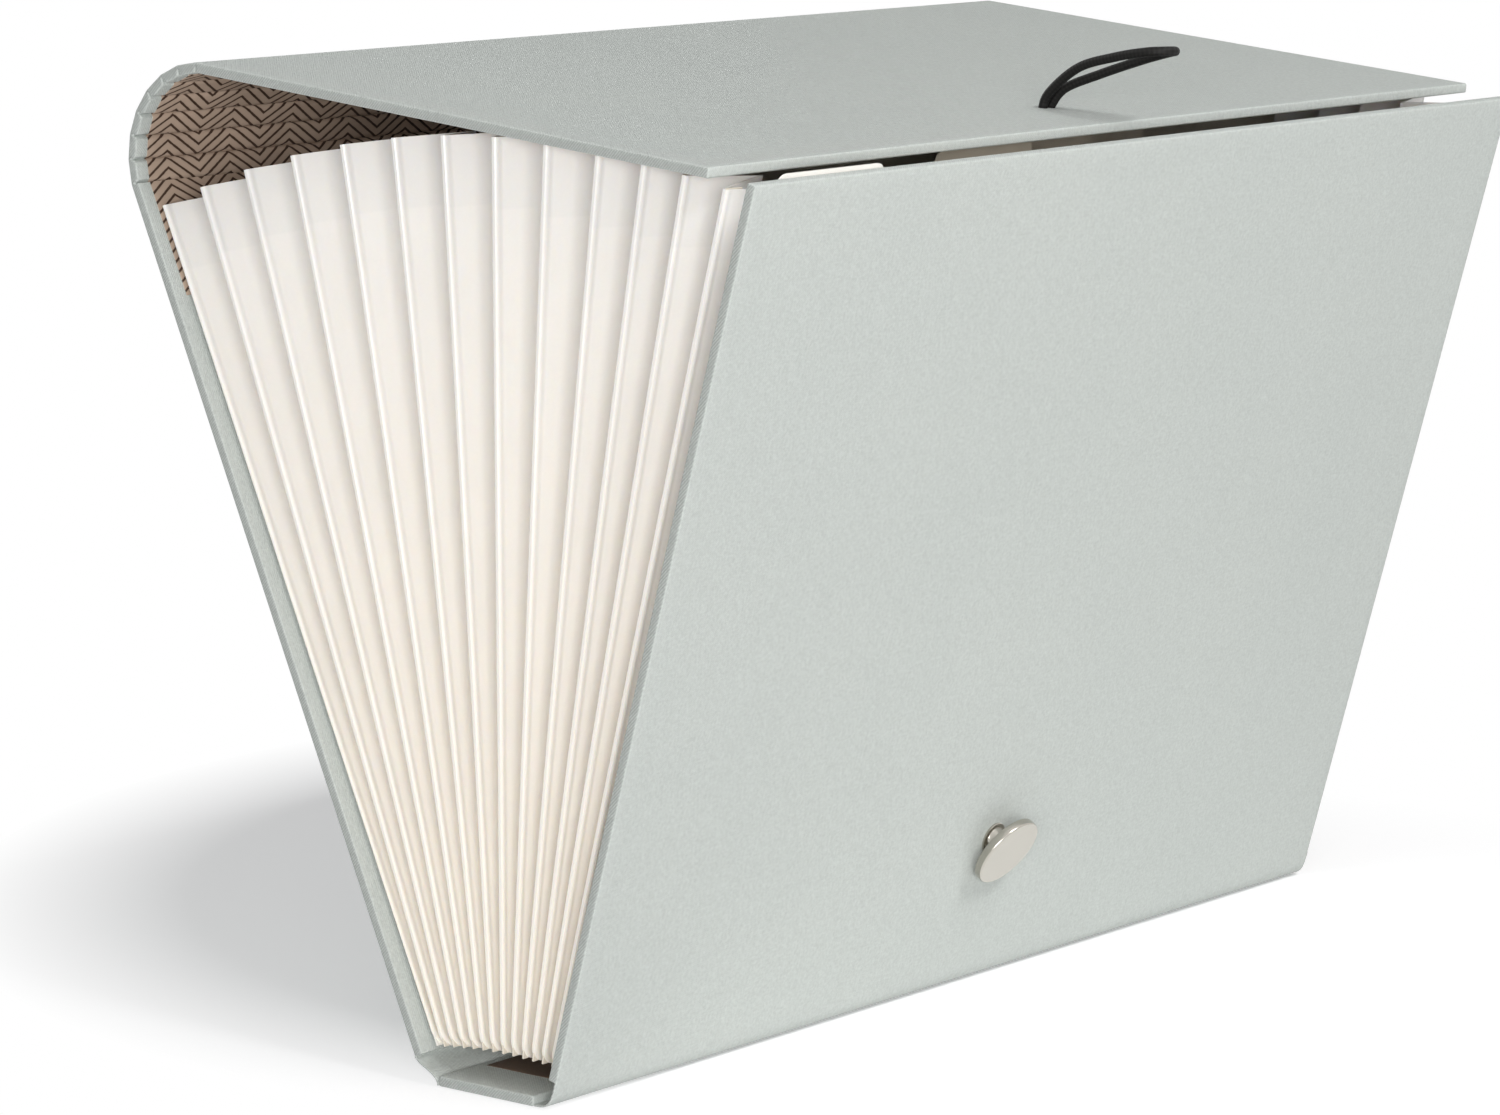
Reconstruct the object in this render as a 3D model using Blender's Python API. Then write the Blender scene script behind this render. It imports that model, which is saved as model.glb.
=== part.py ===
"""Expanding file folder: a cloth-covered case with a pleated paper bellows inside.

The case is a narrow spine board that stands on the table, a front and a back cover that lean
apart, seven slats that roll the top edge over, and a flap that lies on the bellows. The bellows
has thirteen pockets between twelve tabbed dividers. An elastic loop on the flap goes over a stud.
Metres, +Z up. X runs along the spine, -Y is the front. The origin is under the middle of the spine.
"""

import math

import bmesh
import bpy
from mathutils import Matrix, Vector

# Case boards and what covers them
case_width = 0.330
cover_height = 0.227
spine_width = 0.0304
flap_length = 0.1631
board_core = 0.0014
cloth_thickness = 0.0003
lining_thickness = 0.0003
gap = 0.0003
cloth_edge_radius = 0.0006
turn_in_width = 0.015
spine_turn_in = 0.0025
flap_turn_in = 0.004
covered_thickness = board_core + 2 * (cloth_thickness + gap)
overrun = 0.002

# Cloth hinges of the two covers
hinge_offset = 0.0032
hinge_height = 0.0034
hinge_inset = 0.0005
cover_start = 0.0045
hinge_cloth = 0.0004
hinge_groove_depth = 0.0011
front_lean = math.radians(15.6)
back_lean = math.radians(23.9)
hinge_y = spine_width / 2 + hinge_offset
cover_top = cover_start + cover_height
outer_face = hinge_inset + covered_thickness

# Slats that roll the top edge over, and the flap that they carry
slat_count = 7
slat_width = 0.0055
slat_joint = 0.0009
slat_edge_radius = 0.0002
slat_end_inset = 0.0004
flap_seat_rise = 0.0026
slat_pitch = slat_width + slat_joint

# Lining paper
back_lining_height = 0.030
lining_end_inset = 0.004

# Bellows: front sheet, twelve dividers, back sheet, and a pleat between each two
pocket_opening_shares = (1.5, 2.4, 2.4, 2.8, 3.3, 3.35, 3.35, 3.3, 3.55, 3.55, 3.45, 3.35, 3.2)
bellows_inset = 0.005
leaf_thickness = 0.0004
leaf_start = 0.0052
leaf_start_rise = 0.0012
leaf_top_drop = 0.0029
leaf_side_drop = 0.0039
flap_clearance = 0.0007
back_sheet_offset = 0.0006
pleat_thickness = 0.00035
pleat_face = 0.022
pleat_floor = 0.009
pleat_crease = 0.0009
pleat_corner = 0.004
pleat_inner_corner = 0.0012
corner_steps = 3
front_hinged_dividers = 5

# Divider outline and index tabs
divider_drop = 0.0115
ear_width = 0.006
ear_radius = 0.003
tab_width = 0.042
tab_corner = 0.003
tab_foot = 0.0015
tab_top_drop = 0.0008
tab_margin = 0.0095
tab_columns = 7
front_tab_middle = -0.133
front_tab_rise = 0.0008

# Closure stud on the front cover
stud_height = 0.0365
stud_head_radius = 0.009
stud_head_thickness = 0.0024
stud_head_bevel = 0.0005
stud_neck_radius = 0.0032
stud_flange_radius = 0.0045
stud_flange_thickness = 0.0006
stud_reach = 0.0046
stud_shank_radius = 0.0015
stud_cap_radius = 0.0045
stud_cap_thickness = 0.0003
round_segments = 40

# Elastic loop, the slit that it comes out of and the bar that holds it inside the flap.
# The route is (across, towards the flap's front edge, above the flap) from the slit's middle.
elastic_diameter = 0.0018
elastic_spread = 0.0022
slit_from_edge = 0.0238
anchor_length = 0.014
anchor_width = 0.0045
anchor_thickness = 0.0005
anchor_recess = 0.0009
elastic_points_per_span = 2
elastic_route = (
    (-0.0022, 0.0, -0.0011),
    (-0.0022, 0.0019, 0.0041),
    (-0.0030, 0.0106, 0.0118),
    (-0.0041, 0.0220, 0.0162),
    (-0.0045, 0.0312, 0.0188),
    (-0.0026, 0.0356, 0.0196),
    (0.0012, 0.0363, 0.0195),
    (0.0042, 0.0324, 0.0184),
    (0.0043, 0.0244, 0.0153),
    (0.0033, 0.0134, 0.0102),
    (0.0023, 0.0038, 0.0050),
    (0.0022, 0.0, -0.0011),
)

# Distance within which the ends of a turned profile count as one point
weld_distance = 0.000002


def clear_scene():
    """Remove every object, so that the model starts from nothing."""
    for item in list(bpy.data.objects):
        bpy.data.objects.remove(item, do_unlink=True)


def finish(name, colour, roughness, metallic=0.0):
    """Principled material with one colour, roughness and metallic value."""
    material = bpy.data.materials.new(name)
    material.use_nodes = True
    shader = material.node_tree.nodes["Principled BSDF"]
    shader.inputs["Base Color"].default_value = (*colour, 1.0)
    shader.inputs["Roughness"].default_value = roughness
    shader.inputs["Metallic"].default_value = metallic
    return material


def along(angle):
    """Unit vector that leans from +Z towards +Y by the angle."""
    return Vector((0.0, math.sin(angle), math.cos(angle)))


def across(angle):
    """Unit vector square to along(angle), on its +Y side when upright."""
    return Vector((0.0, math.cos(angle), -math.sin(angle)))


class Frame:
    """Axis of one moving body: an empty on it, turned so that local Z leans by the angle."""

    def __init__(self, name, pivot, angle):
        self.pivot = Vector(pivot)
        self.angle = angle
        self.matrix = Matrix.Translation(self.pivot) @ Matrix.Rotation(-angle, 4, "X")
        self.empty = bpy.data.objects.new(name, None)
        bpy.context.collection.objects.link(self.empty)
        self.empty.matrix_world = self.matrix


def place(name, data, frame, material, in_world=False):
    """Link an object under its frame, with its mesh in the frame's or in world coordinates."""
    item = bpy.data.objects.new(name, data)
    bpy.context.collection.objects.link(item)
    if frame is not None:
        item.parent = frame.empty
        if in_world:
            item.matrix_parent_inverse = frame.matrix.inverted()
    item.data.materials.append(material)
    return item


def to_mesh(bm, name):
    """Close a bmesh into a mesh whose faces point out."""
    bmesh.ops.recalc_face_normals(bm, faces=bm.faces)
    mesh = bpy.data.meshes.new(name)
    bm.to_mesh(mesh)
    bm.free()
    return mesh


def block(name, low, high, frame, material):
    """Rectangular piece between two corners."""
    bm = bmesh.new()
    bmesh.ops.create_cube(bm, size=1)
    middle = (Vector(low) + Vector(high)) / 2
    size = Vector(high) - Vector(low)
    bmesh.ops.scale(bm, verts=bm.verts, vec=size)
    bmesh.ops.translate(bm, verts=bm.verts, vec=middle)
    return place(name, to_mesh(bm, name), frame, material)


def bevel(item, width, segments=2):
    """Round every edge of a block."""
    modifier = item.modifiers.new("round_edges", "BEVEL")
    modifier.width = width
    modifier.segments = segments
    modifier.limit_method = "ANGLE"


def cut(item, cutter):
    """Take a cutter's shape out of an item, and leave the cutter out of the model."""
    cutter.hide_render = True
    cutter.display_type = "WIRE"
    modifier = item.modifiers.new("cut_" + cutter.name, "BOOLEAN")
    modifier.operation = "DIFFERENCE"
    modifier.solver = "EXACT"
    modifier.object = cutter


def turned(name, profile, frame, material):
    """Revolve (radius, along) points about the frame's Y axis; the first and last lie on it."""
    bm = bmesh.new()
    verts = [bm.verts.new((radius, y, 0.0)) for radius, y in profile]
    edges = [bm.edges.new(pair) for pair in zip(verts, verts[1:])]
    bmesh.ops.spin(
        bm,
        geom=verts + edges,
        cent=(0.0, 0.0, 0.0),
        axis=(0.0, 1.0, 0.0),
        angle=2 * math.pi,
        steps=round_segments,
    )
    bmesh.ops.remove_doubles(bm, verts=bm.verts, dist=weld_distance)
    item = place(name, to_mesh(bm, name), frame, material)
    item.data.shade_smooth()
    item.data.set_sharp_from_angle(angle=math.radians(40))
    return item


def rounded_outline(corners):
    """Outline with each (x, z, radius) corner replaced by an arc that touches both sides."""
    outline = []
    for index, (x, z, radius) in enumerate(corners):
        here = Vector((x, z))
        if radius == 0:
            outline.append(here)
            continue
        before = Vector(corners[index - 1][:2]) - here
        after = Vector(corners[(index + 1) % len(corners)][:2]) - here
        half = before.angle(after) / 2
        start = here + before.normalized() * radius / math.tan(half)
        end = here + after.normalized() * radius / math.tan(half)
        centre = here + (before.normalized() + after.normalized()).normalized() * radius / math.sin(half)
        for step in range(corner_steps + 1):
            mixed = start.lerp(end, step / corner_steps) - centre
            outline.append(centre + mixed.normalized() * radius)
    return outline


def plate(name, corners, offset, thickness, frame, material):
    """Flat sheet: an outline in X and Z, pushed to its thickness along Y about the offset."""
    bm = bmesh.new()
    outline = rounded_outline(corners)
    face = bm.faces.new([bm.verts.new((p.x, offset - thickness / 2, p.y)) for p in outline])
    pushed = bmesh.ops.extrude_face_region(bm, geom=[face])
    moved = [part for part in pushed["geom"] if isinstance(part, bmesh.types.BMVert)]
    bmesh.ops.translate(bm, verts=moved, vec=(0.0, thickness, 0.0))
    return place(name, to_mesh(bm, name), frame, material)


def ribbon(name, section, half_width, thickness, frame, material):
    """Strip of cloth: a line of world points carried along X and thickened to both sides."""
    bm = bmesh.new()
    rows = [[bm.verts.new((side * half_width, p.y, p.z)) for side in (-1, 1)] for p in section]
    for first, second in zip(rows, rows[1:]):
        bm.faces.new((first[0], first[1], second[1], second[0]))
    item = place(name, to_mesh(bm, name), frame, material, in_world=True)
    thicken(item, thickness)
    return item


def thicken(item, thickness):
    """Give a sheet its thickness, half to each side."""
    modifier = item.modifiers.new("thickness", "SOLIDIFY")
    modifier.thickness = thickness
    modifier.offset = 0.0
    modifier.use_even_offset = True


def covered_board(names, start, length, inner, outward, border, frame, materials):
    """Board core and the cloth round it, with the cloth turned in over the edges by the border.

    inner is the covered board's inner face and outward the side, +1 or -1, of its outer face.
    border is (at the ends, along the long edges). Returns the core and the cloth.
    """
    wrap = cloth_thickness + gap
    outer = inner + outward * covered_thickness
    faces = sorted((inner, outer))
    core_faces = sorted((inner + outward * wrap, outer - outward * wrap))
    half = case_width / 2
    core = block(
        names[0],
        (wrap - half, core_faces[0], start + wrap),
        (half - wrap, core_faces[1], start + length - wrap),
        frame,
        materials["board"],
    )
    low = (-half, faces[0], start)
    high = (half, faces[1], start + length)
    cloth = block(names[1], low, high, frame, materials["cloth"])
    bevel(cloth, cloth_edge_radius)
    room = block(
        names[1] + "_room",
        (cloth_thickness - half, core_faces[0] - gap, start + cloth_thickness),
        (half - cloth_thickness, core_faces[1] + gap, start + length - cloth_thickness),
        frame,
        materials["cloth"],
    )
    cut(cloth, room)
    window_faces = sorted((inner + outward * wrap, inner - outward * overrun))
    window = block(
        names[1] + "_window",
        (border[0] - half, window_faces[0], start + border[1]),
        (half - border[0], window_faces[1], start + length - border[1]),
        frame,
        materials["cloth"],
    )
    cut(cloth, window)
    return core, cloth


def hinge_cloth_section(side):
    """World points of a cover's cloth hinge, from the spine's edge into the groove and up."""
    lean = back_lean if side > 0 else front_lean
    foot = Vector((0.0, side * hinge_y, hinge_height))
    outside = across(side * lean) * side
    upward = along(side * lean)
    edge = foot + outside * (outer_face - hinge_cloth) + upward * (cover_start - gap - hinge_cloth / 2)
    first = Vector((0.0, side * (spine_width / 2 + gap + hinge_cloth / 2), hinge_cloth + gap))
    run = edge - first
    groove = Vector((0.0, -side * run.z, side * run.y)).normalized() * hinge_groove_depth
    points = []
    steps = 2 * corner_steps
    for step in range(steps + 1):
        share = step / steps
        points.append(first + run * share + groove * math.sin(math.pi * share))
    return points


def leaf_angles():
    """Lean of the front sheet, each divider and the back sheet, front to back."""
    total = sum(pocket_opening_shares)
    angles = [-front_lean]
    for share in pocket_opening_shares:
        angles.append(angles[-1] + (front_lean + back_lean) * share / total)
    return angles


def slat_chain(flap_slope):
    """Hinge lines of the slats, each with the angle of what follows it, for one slope of the flap."""
    bend = (back_lean + math.pi / 2 + flap_slope) / (slat_count + 1)
    start = cover_top + slat_joint / 2
    point = Vector((0.0, hinge_y, hinge_height)) + along(back_lean) * start + across(back_lean) * outer_face
    angle = back_lean - bend
    chain = [(point, angle)]
    for _ in range(slat_count):
        point = point + along(angle) * slat_pitch
        angle = angle - bend
        chain.append((point, angle))
    return chain


def resting_slope():
    """Slope at which the flap's front edge lies just above the front cover's top edge."""
    front_top = Vector((0.0, -hinge_y, hinge_height)) + along(-front_lean) * cover_top
    wanted = front_top.z + flap_seat_rise
    low, high = 0.0, math.pi / 6
    for _ in range(40):
        middle = (low + high) / 2
        point, angle = slat_chain(middle)[-1]
        reached = (point + along(angle) * flap_length).z
        if reached > wanted:
            low = middle
        else:
            high = middle
    return (low + high) / 2


def leaf_tops(angles, flap_hinge, flap_angle):
    """Height of each leaf above the hinge line: a shallow arch, held just under the flap."""
    under = flap_hinge - across(flap_angle) * (covered_thickness + flap_clearance)
    front_edge = (flap_hinge + along(flap_angle) * flap_length).y
    normal = across(flap_angle)
    tops = []
    for index, angle in enumerate(angles):
        foot = leaf_foot(index)
        top = cover_top - leaf_top_drop - leaf_side_drop * (angle / back_lean) ** 2
        reach = (under - foot).dot(normal) / along(angle).dot(normal)
        if (foot + along(angle) * top).y > front_edge - flap_clearance:
            top = min(top, reach)
        tops.append(top)
    return tops


def leaf_foot(index):
    """Point on the hinge line's height from which a leaf fans out."""
    share = index / len(pocket_opening_shares)
    return Vector((0.0, hinge_y * (2 * share - 1), hinge_height))


def leaf_bottom(angle):
    """Height of a leaf's lower edge above the hinge line, a little higher in the middle."""
    return leaf_start + leaf_start_rise * (1 - (angle / back_lean) ** 2)


def leaf_point(index, angle, x, height, offset):
    """World point on a leaf, at a height along it and an offset square to it."""
    side = leaf_foot(index) + along(angle) * height + across(angle) * offset
    return Vector((x, side.y, side.z))


def pleat_path(top, bottom, inset, depth, corner):
    """Down one side, round the lower corner, along the floor and up the other side: (x, height)."""
    half = case_width / 2 - bellows_inset - inset
    floor = bottom + depth
    left = [(-half, top)]
    for step in range(corner_steps + 1):
        turn = math.pi / 2 * step / corner_steps
        x = -half + corner * (1 - math.cos(turn))
        left.append((x, floor + corner * (1 - math.sin(turn))))
    right = [(-x, height) for x, height in reversed(left)]
    return left + right


def pleat(name, index, angles, tops, frame, material):
    """Gusset and floor of the pocket before leaf index, as one folded strip of paper."""
    edge = leaf_thickness / 2 + gap + pleat_thickness / 2
    sides = (index - 1, index)
    offsets = [
        edge,
        -edge - (back_sheet_offset if index == len(pocket_opening_shares) else 0.0),
    ]
    outer = [pleat_path(tops[k], leaf_bottom(angles[k]), 0.0, 0.0, pleat_corner) for k in sides]
    depth = pleat_depth(index, angles, tops)
    inner = [
        pleat_path(tops[k], leaf_bottom(angles[k]), depth, pleat_floor, pleat_inner_corner)
        for k in sides
    ]
    bm = bmesh.new()
    columns = []
    for station in range(len(outer[0])):
        ridge = [leaf_point(k, angles[k], *outer[n][station], offsets[n]) for n, k in enumerate(sides)]
        valley = [leaf_point(k, angles[k], *inner[n][station], offsets[n]) for n, k in enumerate(sides)]
        middle = (valley[0] + valley[1]) / 2
        crease = (valley[1] - valley[0]).normalized() * pleat_crease / 2
        points = (ridge[0], middle - crease, middle + crease, ridge[1])
        columns.append([bm.verts.new(point) for point in points])
    for first, second in zip(columns, columns[1:]):
        for n in range(len(first) - 1):
            bm.faces.new((first[n], first[n + 1], second[n + 1], second[n]))
    item = place(name, to_mesh(bm, name), frame, material, in_world=True)
    thicken(item, pleat_thickness)
    return item


def pleat_depth(index, angles, tops):
    """How far a pleat's crease stands in from its ridges, from the width of its faces."""
    spread = (
        leaf_point(index, angles[index], 0.0, tops[index], 0.0)
        - leaf_point(index - 1, angles[index - 1], 0.0, tops[index - 1], 0.0)
    ).length
    return math.sqrt(pleat_face**2 - (spread / 2) ** 2)


def tab_centre(index):
    """Place along X of a leaf's index tab: the tabs step across, then start again."""
    reach = case_width / 2 - bellows_inset - tab_margin - tab_width / 2
    column = index % tab_columns
    return reach * (2 * column / (tab_columns - 1) - 1)


def divider_corners(index, bottom, top):
    """Outline of a divider: raised ears that fill the pleat ridges, and one index tab."""
    half = case_width / 2 - bellows_inset
    shoulder = top - divider_drop
    tab_top = top - tab_top_drop
    middle = tab_centre(index)
    return [
        (-half, bottom, 0.0),
        (half, bottom, 0.0),
        (half, top, 0.0),
        (half - ear_width, top, 0.0),
        (half - ear_width, shoulder, ear_radius),
        (middle + tab_width / 2, shoulder, 0.0),
        (middle + tab_width / 2 - tab_foot, tab_top, tab_corner),
        (middle - tab_width / 2 + tab_foot, tab_top, tab_corner),
        (middle - tab_width / 2, shoulder, 0.0),
        (ear_width - half, shoulder, ear_radius),
        (ear_width - half, top, 0.0),
        (-half, top, 0.0),
    ]


def front_sheet_corners(bottom, top):
    """Outline of the bellows' front sheet, with an index tab near its left end."""
    half = case_width / 2 - bellows_inset
    tab_top = cover_top + front_tab_rise
    return [
        (-half, bottom, 0.0),
        (half, bottom, 0.0),
        (half, top, 0.0),
        (front_tab_middle + tab_width / 2, top, 0.0),
        (front_tab_middle + tab_width / 2 - tab_foot, tab_top, tab_corner),
        (front_tab_middle - tab_width / 2 + tab_foot, tab_top, tab_corner),
        (front_tab_middle - tab_width / 2, top, 0.0),
        (-half, top, 0.0),
    ]


def back_sheet_corners(bottom, top):
    """Outline of the bellows' back sheet."""
    half = case_width / 2 - bellows_inset
    return [(-half, bottom, 0.0), (half, bottom, 0.0), (half, top, 0.0), (-half, top, 0.0)]


def smooth_route(points, steps):
    """Points of a smooth curve through the route's points (Catmull-Rom), end points kept."""
    knots = [Vector(point) for point in points]
    knots = [2 * knots[0] - knots[1]] + knots + [2 * knots[-1] - knots[-2]]
    route = []
    for a, b, c, d in zip(knots, knots[1:], knots[2:], knots[3:]):
        for step in range(steps):
            t = step / steps
            slope, bend, turn = c - a, 2 * a - 5 * b + 4 * c - d, 3 * b - a - 3 * c + d
            route.append((2 * b + slope * t + bend * t**2 + turn * t**3) / 2)
    route.append(knots[-2])
    return route


def elastic(name, frame, slit, material):
    """Free elastic cord: a round tube along its route, from the slit's place along the flap."""
    route = [(x, above, slit + forward) for x, forward, above in elastic_route]
    points = smooth_route(route, elastic_points_per_span)
    curve = bpy.data.curves.new(name, "CURVE")
    curve.dimensions = "3D"
    curve.bevel_depth = elastic_diameter / 2
    curve.bevel_resolution = 2
    curve.use_fill_caps = True
    spline = curve.splines.new("POLY")
    spline.points.add(len(points) - 1)
    for target, point in zip(spline.points, points):
        target.co = (*point, 1.0)
    return place(name, curve, frame, material)


def build_case(frames, materials):
    """Spine, both covers, the cloth hinges and the back lining."""
    wrap = cloth_thickness + gap
    half = case_width / 2
    spine = Frame("spine_axis", (0.0, 0.0, 0.0), -math.pi / 2)
    covered_board(
        ("spine_board", "spine_cloth"),
        -spine_width / 2,
        spine_width,
        covered_thickness,
        -1,
        (turn_in_width, spine_turn_in),
        spine,
        materials,
    )
    lining_edge = spine_width / 2 - spine_turn_in - gap
    block(
        "spine_lining",
        (turn_in_width + gap - half, covered_thickness - lining_thickness, -lining_edge),
        (half - turn_in_width - gap, covered_thickness, lining_edge),
        spine,
        materials["lining"],
    )
    front, back = frames["front_cover"], frames["back_cover"]
    board, cloth = covered_board(
        ("front_board", "front_cover_cloth"),
        cover_start,
        cover_height,
        -hinge_inset,
        -1,
        (turn_in_width, turn_in_width),
        front,
        materials,
    )
    hole = stud_hole(front, materials)
    cut(board, hole)
    cut(cloth, hole)
    covered_board(
        ("back_board", "back_cover_cloth"),
        cover_start,
        cover_height,
        hinge_inset,
        1,
        (turn_in_width, turn_in_width),
        back,
        materials,
    )
    block(
        "back_lining",
        (lining_end_inset - half, hinge_inset - gap - lining_thickness, cover_top - back_lining_height),
        (half - lining_end_inset, hinge_inset - gap, cover_top),
        back,
        materials["lining"],
    )
    ribbon("front_hinge_cloth", hinge_cloth_section(-1), half - wrap, hinge_cloth, None, materials["cloth"])
    ribbon("back_hinge_cloth", hinge_cloth_section(1), half - wrap, hinge_cloth, None, materials["cloth"])


def stud_hole(frame, materials):
    """Cutter for the stud's shank through the front board and its cloth."""
    radius = stud_shank_radius + gap
    profile = [
        (0.0, -outer_face - overrun),
        (radius, -outer_face - overrun),
        (radius, overrun),
        (0.0, overrun),
    ]
    hole = turned("stud_hole", profile, frame, materials["metal"])
    hole.location = (0.0, 0.0, stud_height)
    return hole


def build_stud(frame, materials):
    """Flat-headed closure stud through the front board, and the cap that holds it inside."""
    seat = -outer_face - gap
    face = -outer_face - stud_reach
    back = face + stud_head_thickness
    shank_end = -hinge_inset - cloth_thickness - gap
    profile = [
        (0.0, face),
        (stud_head_radius - stud_head_bevel * 2, face),
        (stud_head_radius - stud_head_bevel, face + stud_head_bevel / 4),
        (stud_head_radius, face + stud_head_bevel * 2),
        (stud_head_radius, back - stud_head_bevel),
        (stud_head_radius - stud_head_bevel, back),
        (stud_neck_radius, back),
        (stud_neck_radius, seat - stud_flange_thickness),
        (stud_flange_radius, seat - stud_flange_thickness),
        (stud_flange_radius, seat),
        (stud_shank_radius, seat),
        (stud_shank_radius, shank_end),
        (0.0, shank_end),
    ]
    stud = turned("closure_stud", profile, frame, materials["metal"])
    stud.location = (0.0, 0.0, stud_height)
    cap_face = shank_end + gap
    cap_profile = [
        (0.0, cap_face),
        (stud_cap_radius, cap_face),
        (stud_cap_radius, cap_face + stud_cap_thickness),
        (0.0, cap_face + stud_cap_thickness),
    ]
    cap = turned("stud_cap", cap_profile, frame, materials["metal"])
    cap.location = (0.0, 0.0, stud_height)


def build_slats(frames, chain, materials):
    """Slat boards and the cloth strips that join them to the back cover and the flap."""
    wrap = cloth_thickness + gap
    half = case_width / 2
    for number in range(1, slat_count + 1):
        frame = frames[f"slat_{number}"]
        slat = block(
            f"slat_{number}",
            (slat_end_inset + wrap - half, -wrap - board_core, slat_joint / 2),
            (half - wrap - slat_end_inset, -wrap, slat_joint / 2 + slat_width),
            frame,
            materials["board"],
        )
        bevel(slat, slat_edge_radius, 1)
    bend = chain[0][1] - chain[1][1]
    sink = cloth_thickness / 2
    for number in range(1, slat_count + 2):
        hinge, angle = chain[number - 1]
        before = slat_joint / 2 - gap if number == 1 else (slat_pitch - gap) / 2
        after = slat_joint / 2 - gap if number == slat_count + 1 else (slat_pitch - gap) / 2
        section = (
            hinge - along(angle + bend) * before - across(angle + bend) * sink,
            hinge - across(angle + bend / 2) * sink,
            hinge + along(angle) * after - across(angle) * sink,
        )
        frame = frames["back_cover"] if number == 1 else frames[f"slat_{number - 1}"]
        ribbon(f"slat_hinge_cloth_{number}", section, half, cloth_thickness, frame, materials["cloth"])


def build_flap(frame, materials):
    """Flap board with its cloth and lining, and the elastic loop with its anchor."""
    start = slat_joint / 2
    half = case_width / 2
    board, cloth = covered_board(
        ("flap_board", "flap_cloth"),
        start,
        flap_length - start,
        -covered_thickness,
        1,
        (flap_turn_in, flap_turn_in),
        frame,
        materials,
    )
    block(
        "flap_lining",
        (flap_turn_in + gap - half, -covered_thickness, start + flap_turn_in + gap),
        (half - flap_turn_in - gap, lining_thickness - covered_thickness, flap_length - flap_turn_in - gap),
        frame,
        materials["lining"],
    )
    slit = flap_length - slit_from_edge
    long_half = elastic_spread + elastic_diameter / 2 + 2 * gap
    short_half = elastic_diameter / 2 + 2 * gap
    hole = block(
        "elastic_slit",
        (-long_half, -covered_thickness + lining_thickness + gap / 2, slit - short_half),
        (long_half, overrun, slit + short_half),
        frame,
        materials["cloth"],
    )
    cut(board, hole)
    cut(cloth, hole)
    core_under = cloth_thickness + gap - covered_thickness
    recess = block(
        "anchor_recess",
        (-anchor_length / 2 - gap, core_under - overrun, slit - anchor_width / 2 - gap),
        (anchor_length / 2 + gap, core_under + anchor_recess, slit + anchor_width / 2 + gap),
        frame,
        materials["board"],
    )
    cut(board, recess)
    anchor_top = core_under + anchor_recess - gap
    anchor = block(
        "elastic_anchor",
        (-anchor_length / 2, anchor_top - anchor_thickness, slit - anchor_width / 2),
        (anchor_length / 2, anchor_top, slit + anchor_width / 2),
        frame,
        materials["metal"],
    )
    bevel(anchor, anchor_thickness / 4, 1)
    elastic("elastic_loop", frame, slit, materials["elastic"])


def build_bellows(frames, angles, tops, materials):
    """End sheets, dividers and pleats."""
    pockets = len(pocket_opening_shares)
    plate(
        "bellows_front_sheet",
        front_sheet_corners(leaf_bottom(angles[0]), tops[0]),
        0.0,
        leaf_thickness,
        frames["front_cover"],
        materials["paper"],
    )
    plate(
        "bellows_back_sheet",
        back_sheet_corners(leaf_bottom(angles[pockets]), tops[pockets]),
        -back_sheet_offset,
        leaf_thickness,
        frames["back_cover"],
        materials["paper"],
    )
    for index in range(1, pockets):
        frame = frames[f"divider_{index}"]
        shift = leaf_foot(index) - frame.pivot
        offset = shift.dot(across(angles[index]))
        rise = shift.dot(along(angles[index]))
        corners = divider_corners(index, leaf_bottom(angles[index]), tops[index])
        corners = [(x, height + rise, radius) for x, height, radius in corners]
        plate(f"divider_{index}", corners, offset, leaf_thickness, frame, materials["divider"])
    for index in range(1, pockets + 1):
        frame = frames[pleat_carrier(index)]
        pleat(f"pocket_fold_{index}", index, angles, tops, frame, materials["paper"])


def pleat_carrier(index):
    """Body that carries a pleat: the leaf on its cover's side, or its own axis in the middle."""
    last = front_hinged_dividers + 1
    if index == last:
        return f"pocket_fold_{index}"
    if index < last:
        return "front_cover" if index == 1 else f"divider_{index - 1}"
    return "back_cover" if index == len(pocket_opening_shares) else f"divider_{index}"


def build_frames(angles, chain):
    """Joint axes: both cover hinges, the leaves that turn about them, the slats and the flap."""
    front_pivot = (0.0, -hinge_y, hinge_height)
    back_pivot = (0.0, hinge_y, hinge_height)
    frames = {
        "front_cover": Frame("front_cover_axis", front_pivot, -front_lean),
        "back_cover": Frame("back_cover_axis", back_pivot, back_lean),
    }
    for index in range(1, len(pocket_opening_shares)):
        pivot = front_pivot if index <= front_hinged_dividers else back_pivot
        frames[f"divider_{index}"] = Frame(f"divider_{index}_axis", pivot, angles[index])
    middle = front_hinged_dividers + 1
    name = f"pocket_fold_{middle}"
    frames[name] = Frame(name + "_axis", leaf_foot(middle), angles[middle])
    for number, (point, angle) in enumerate(chain[:-1], start=1):
        frames[f"slat_{number}"] = Frame(f"slat_{number}_axis", point, angle)
    frames["flap"] = Frame("flap_axis", *chain[-1])
    return frames


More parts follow.
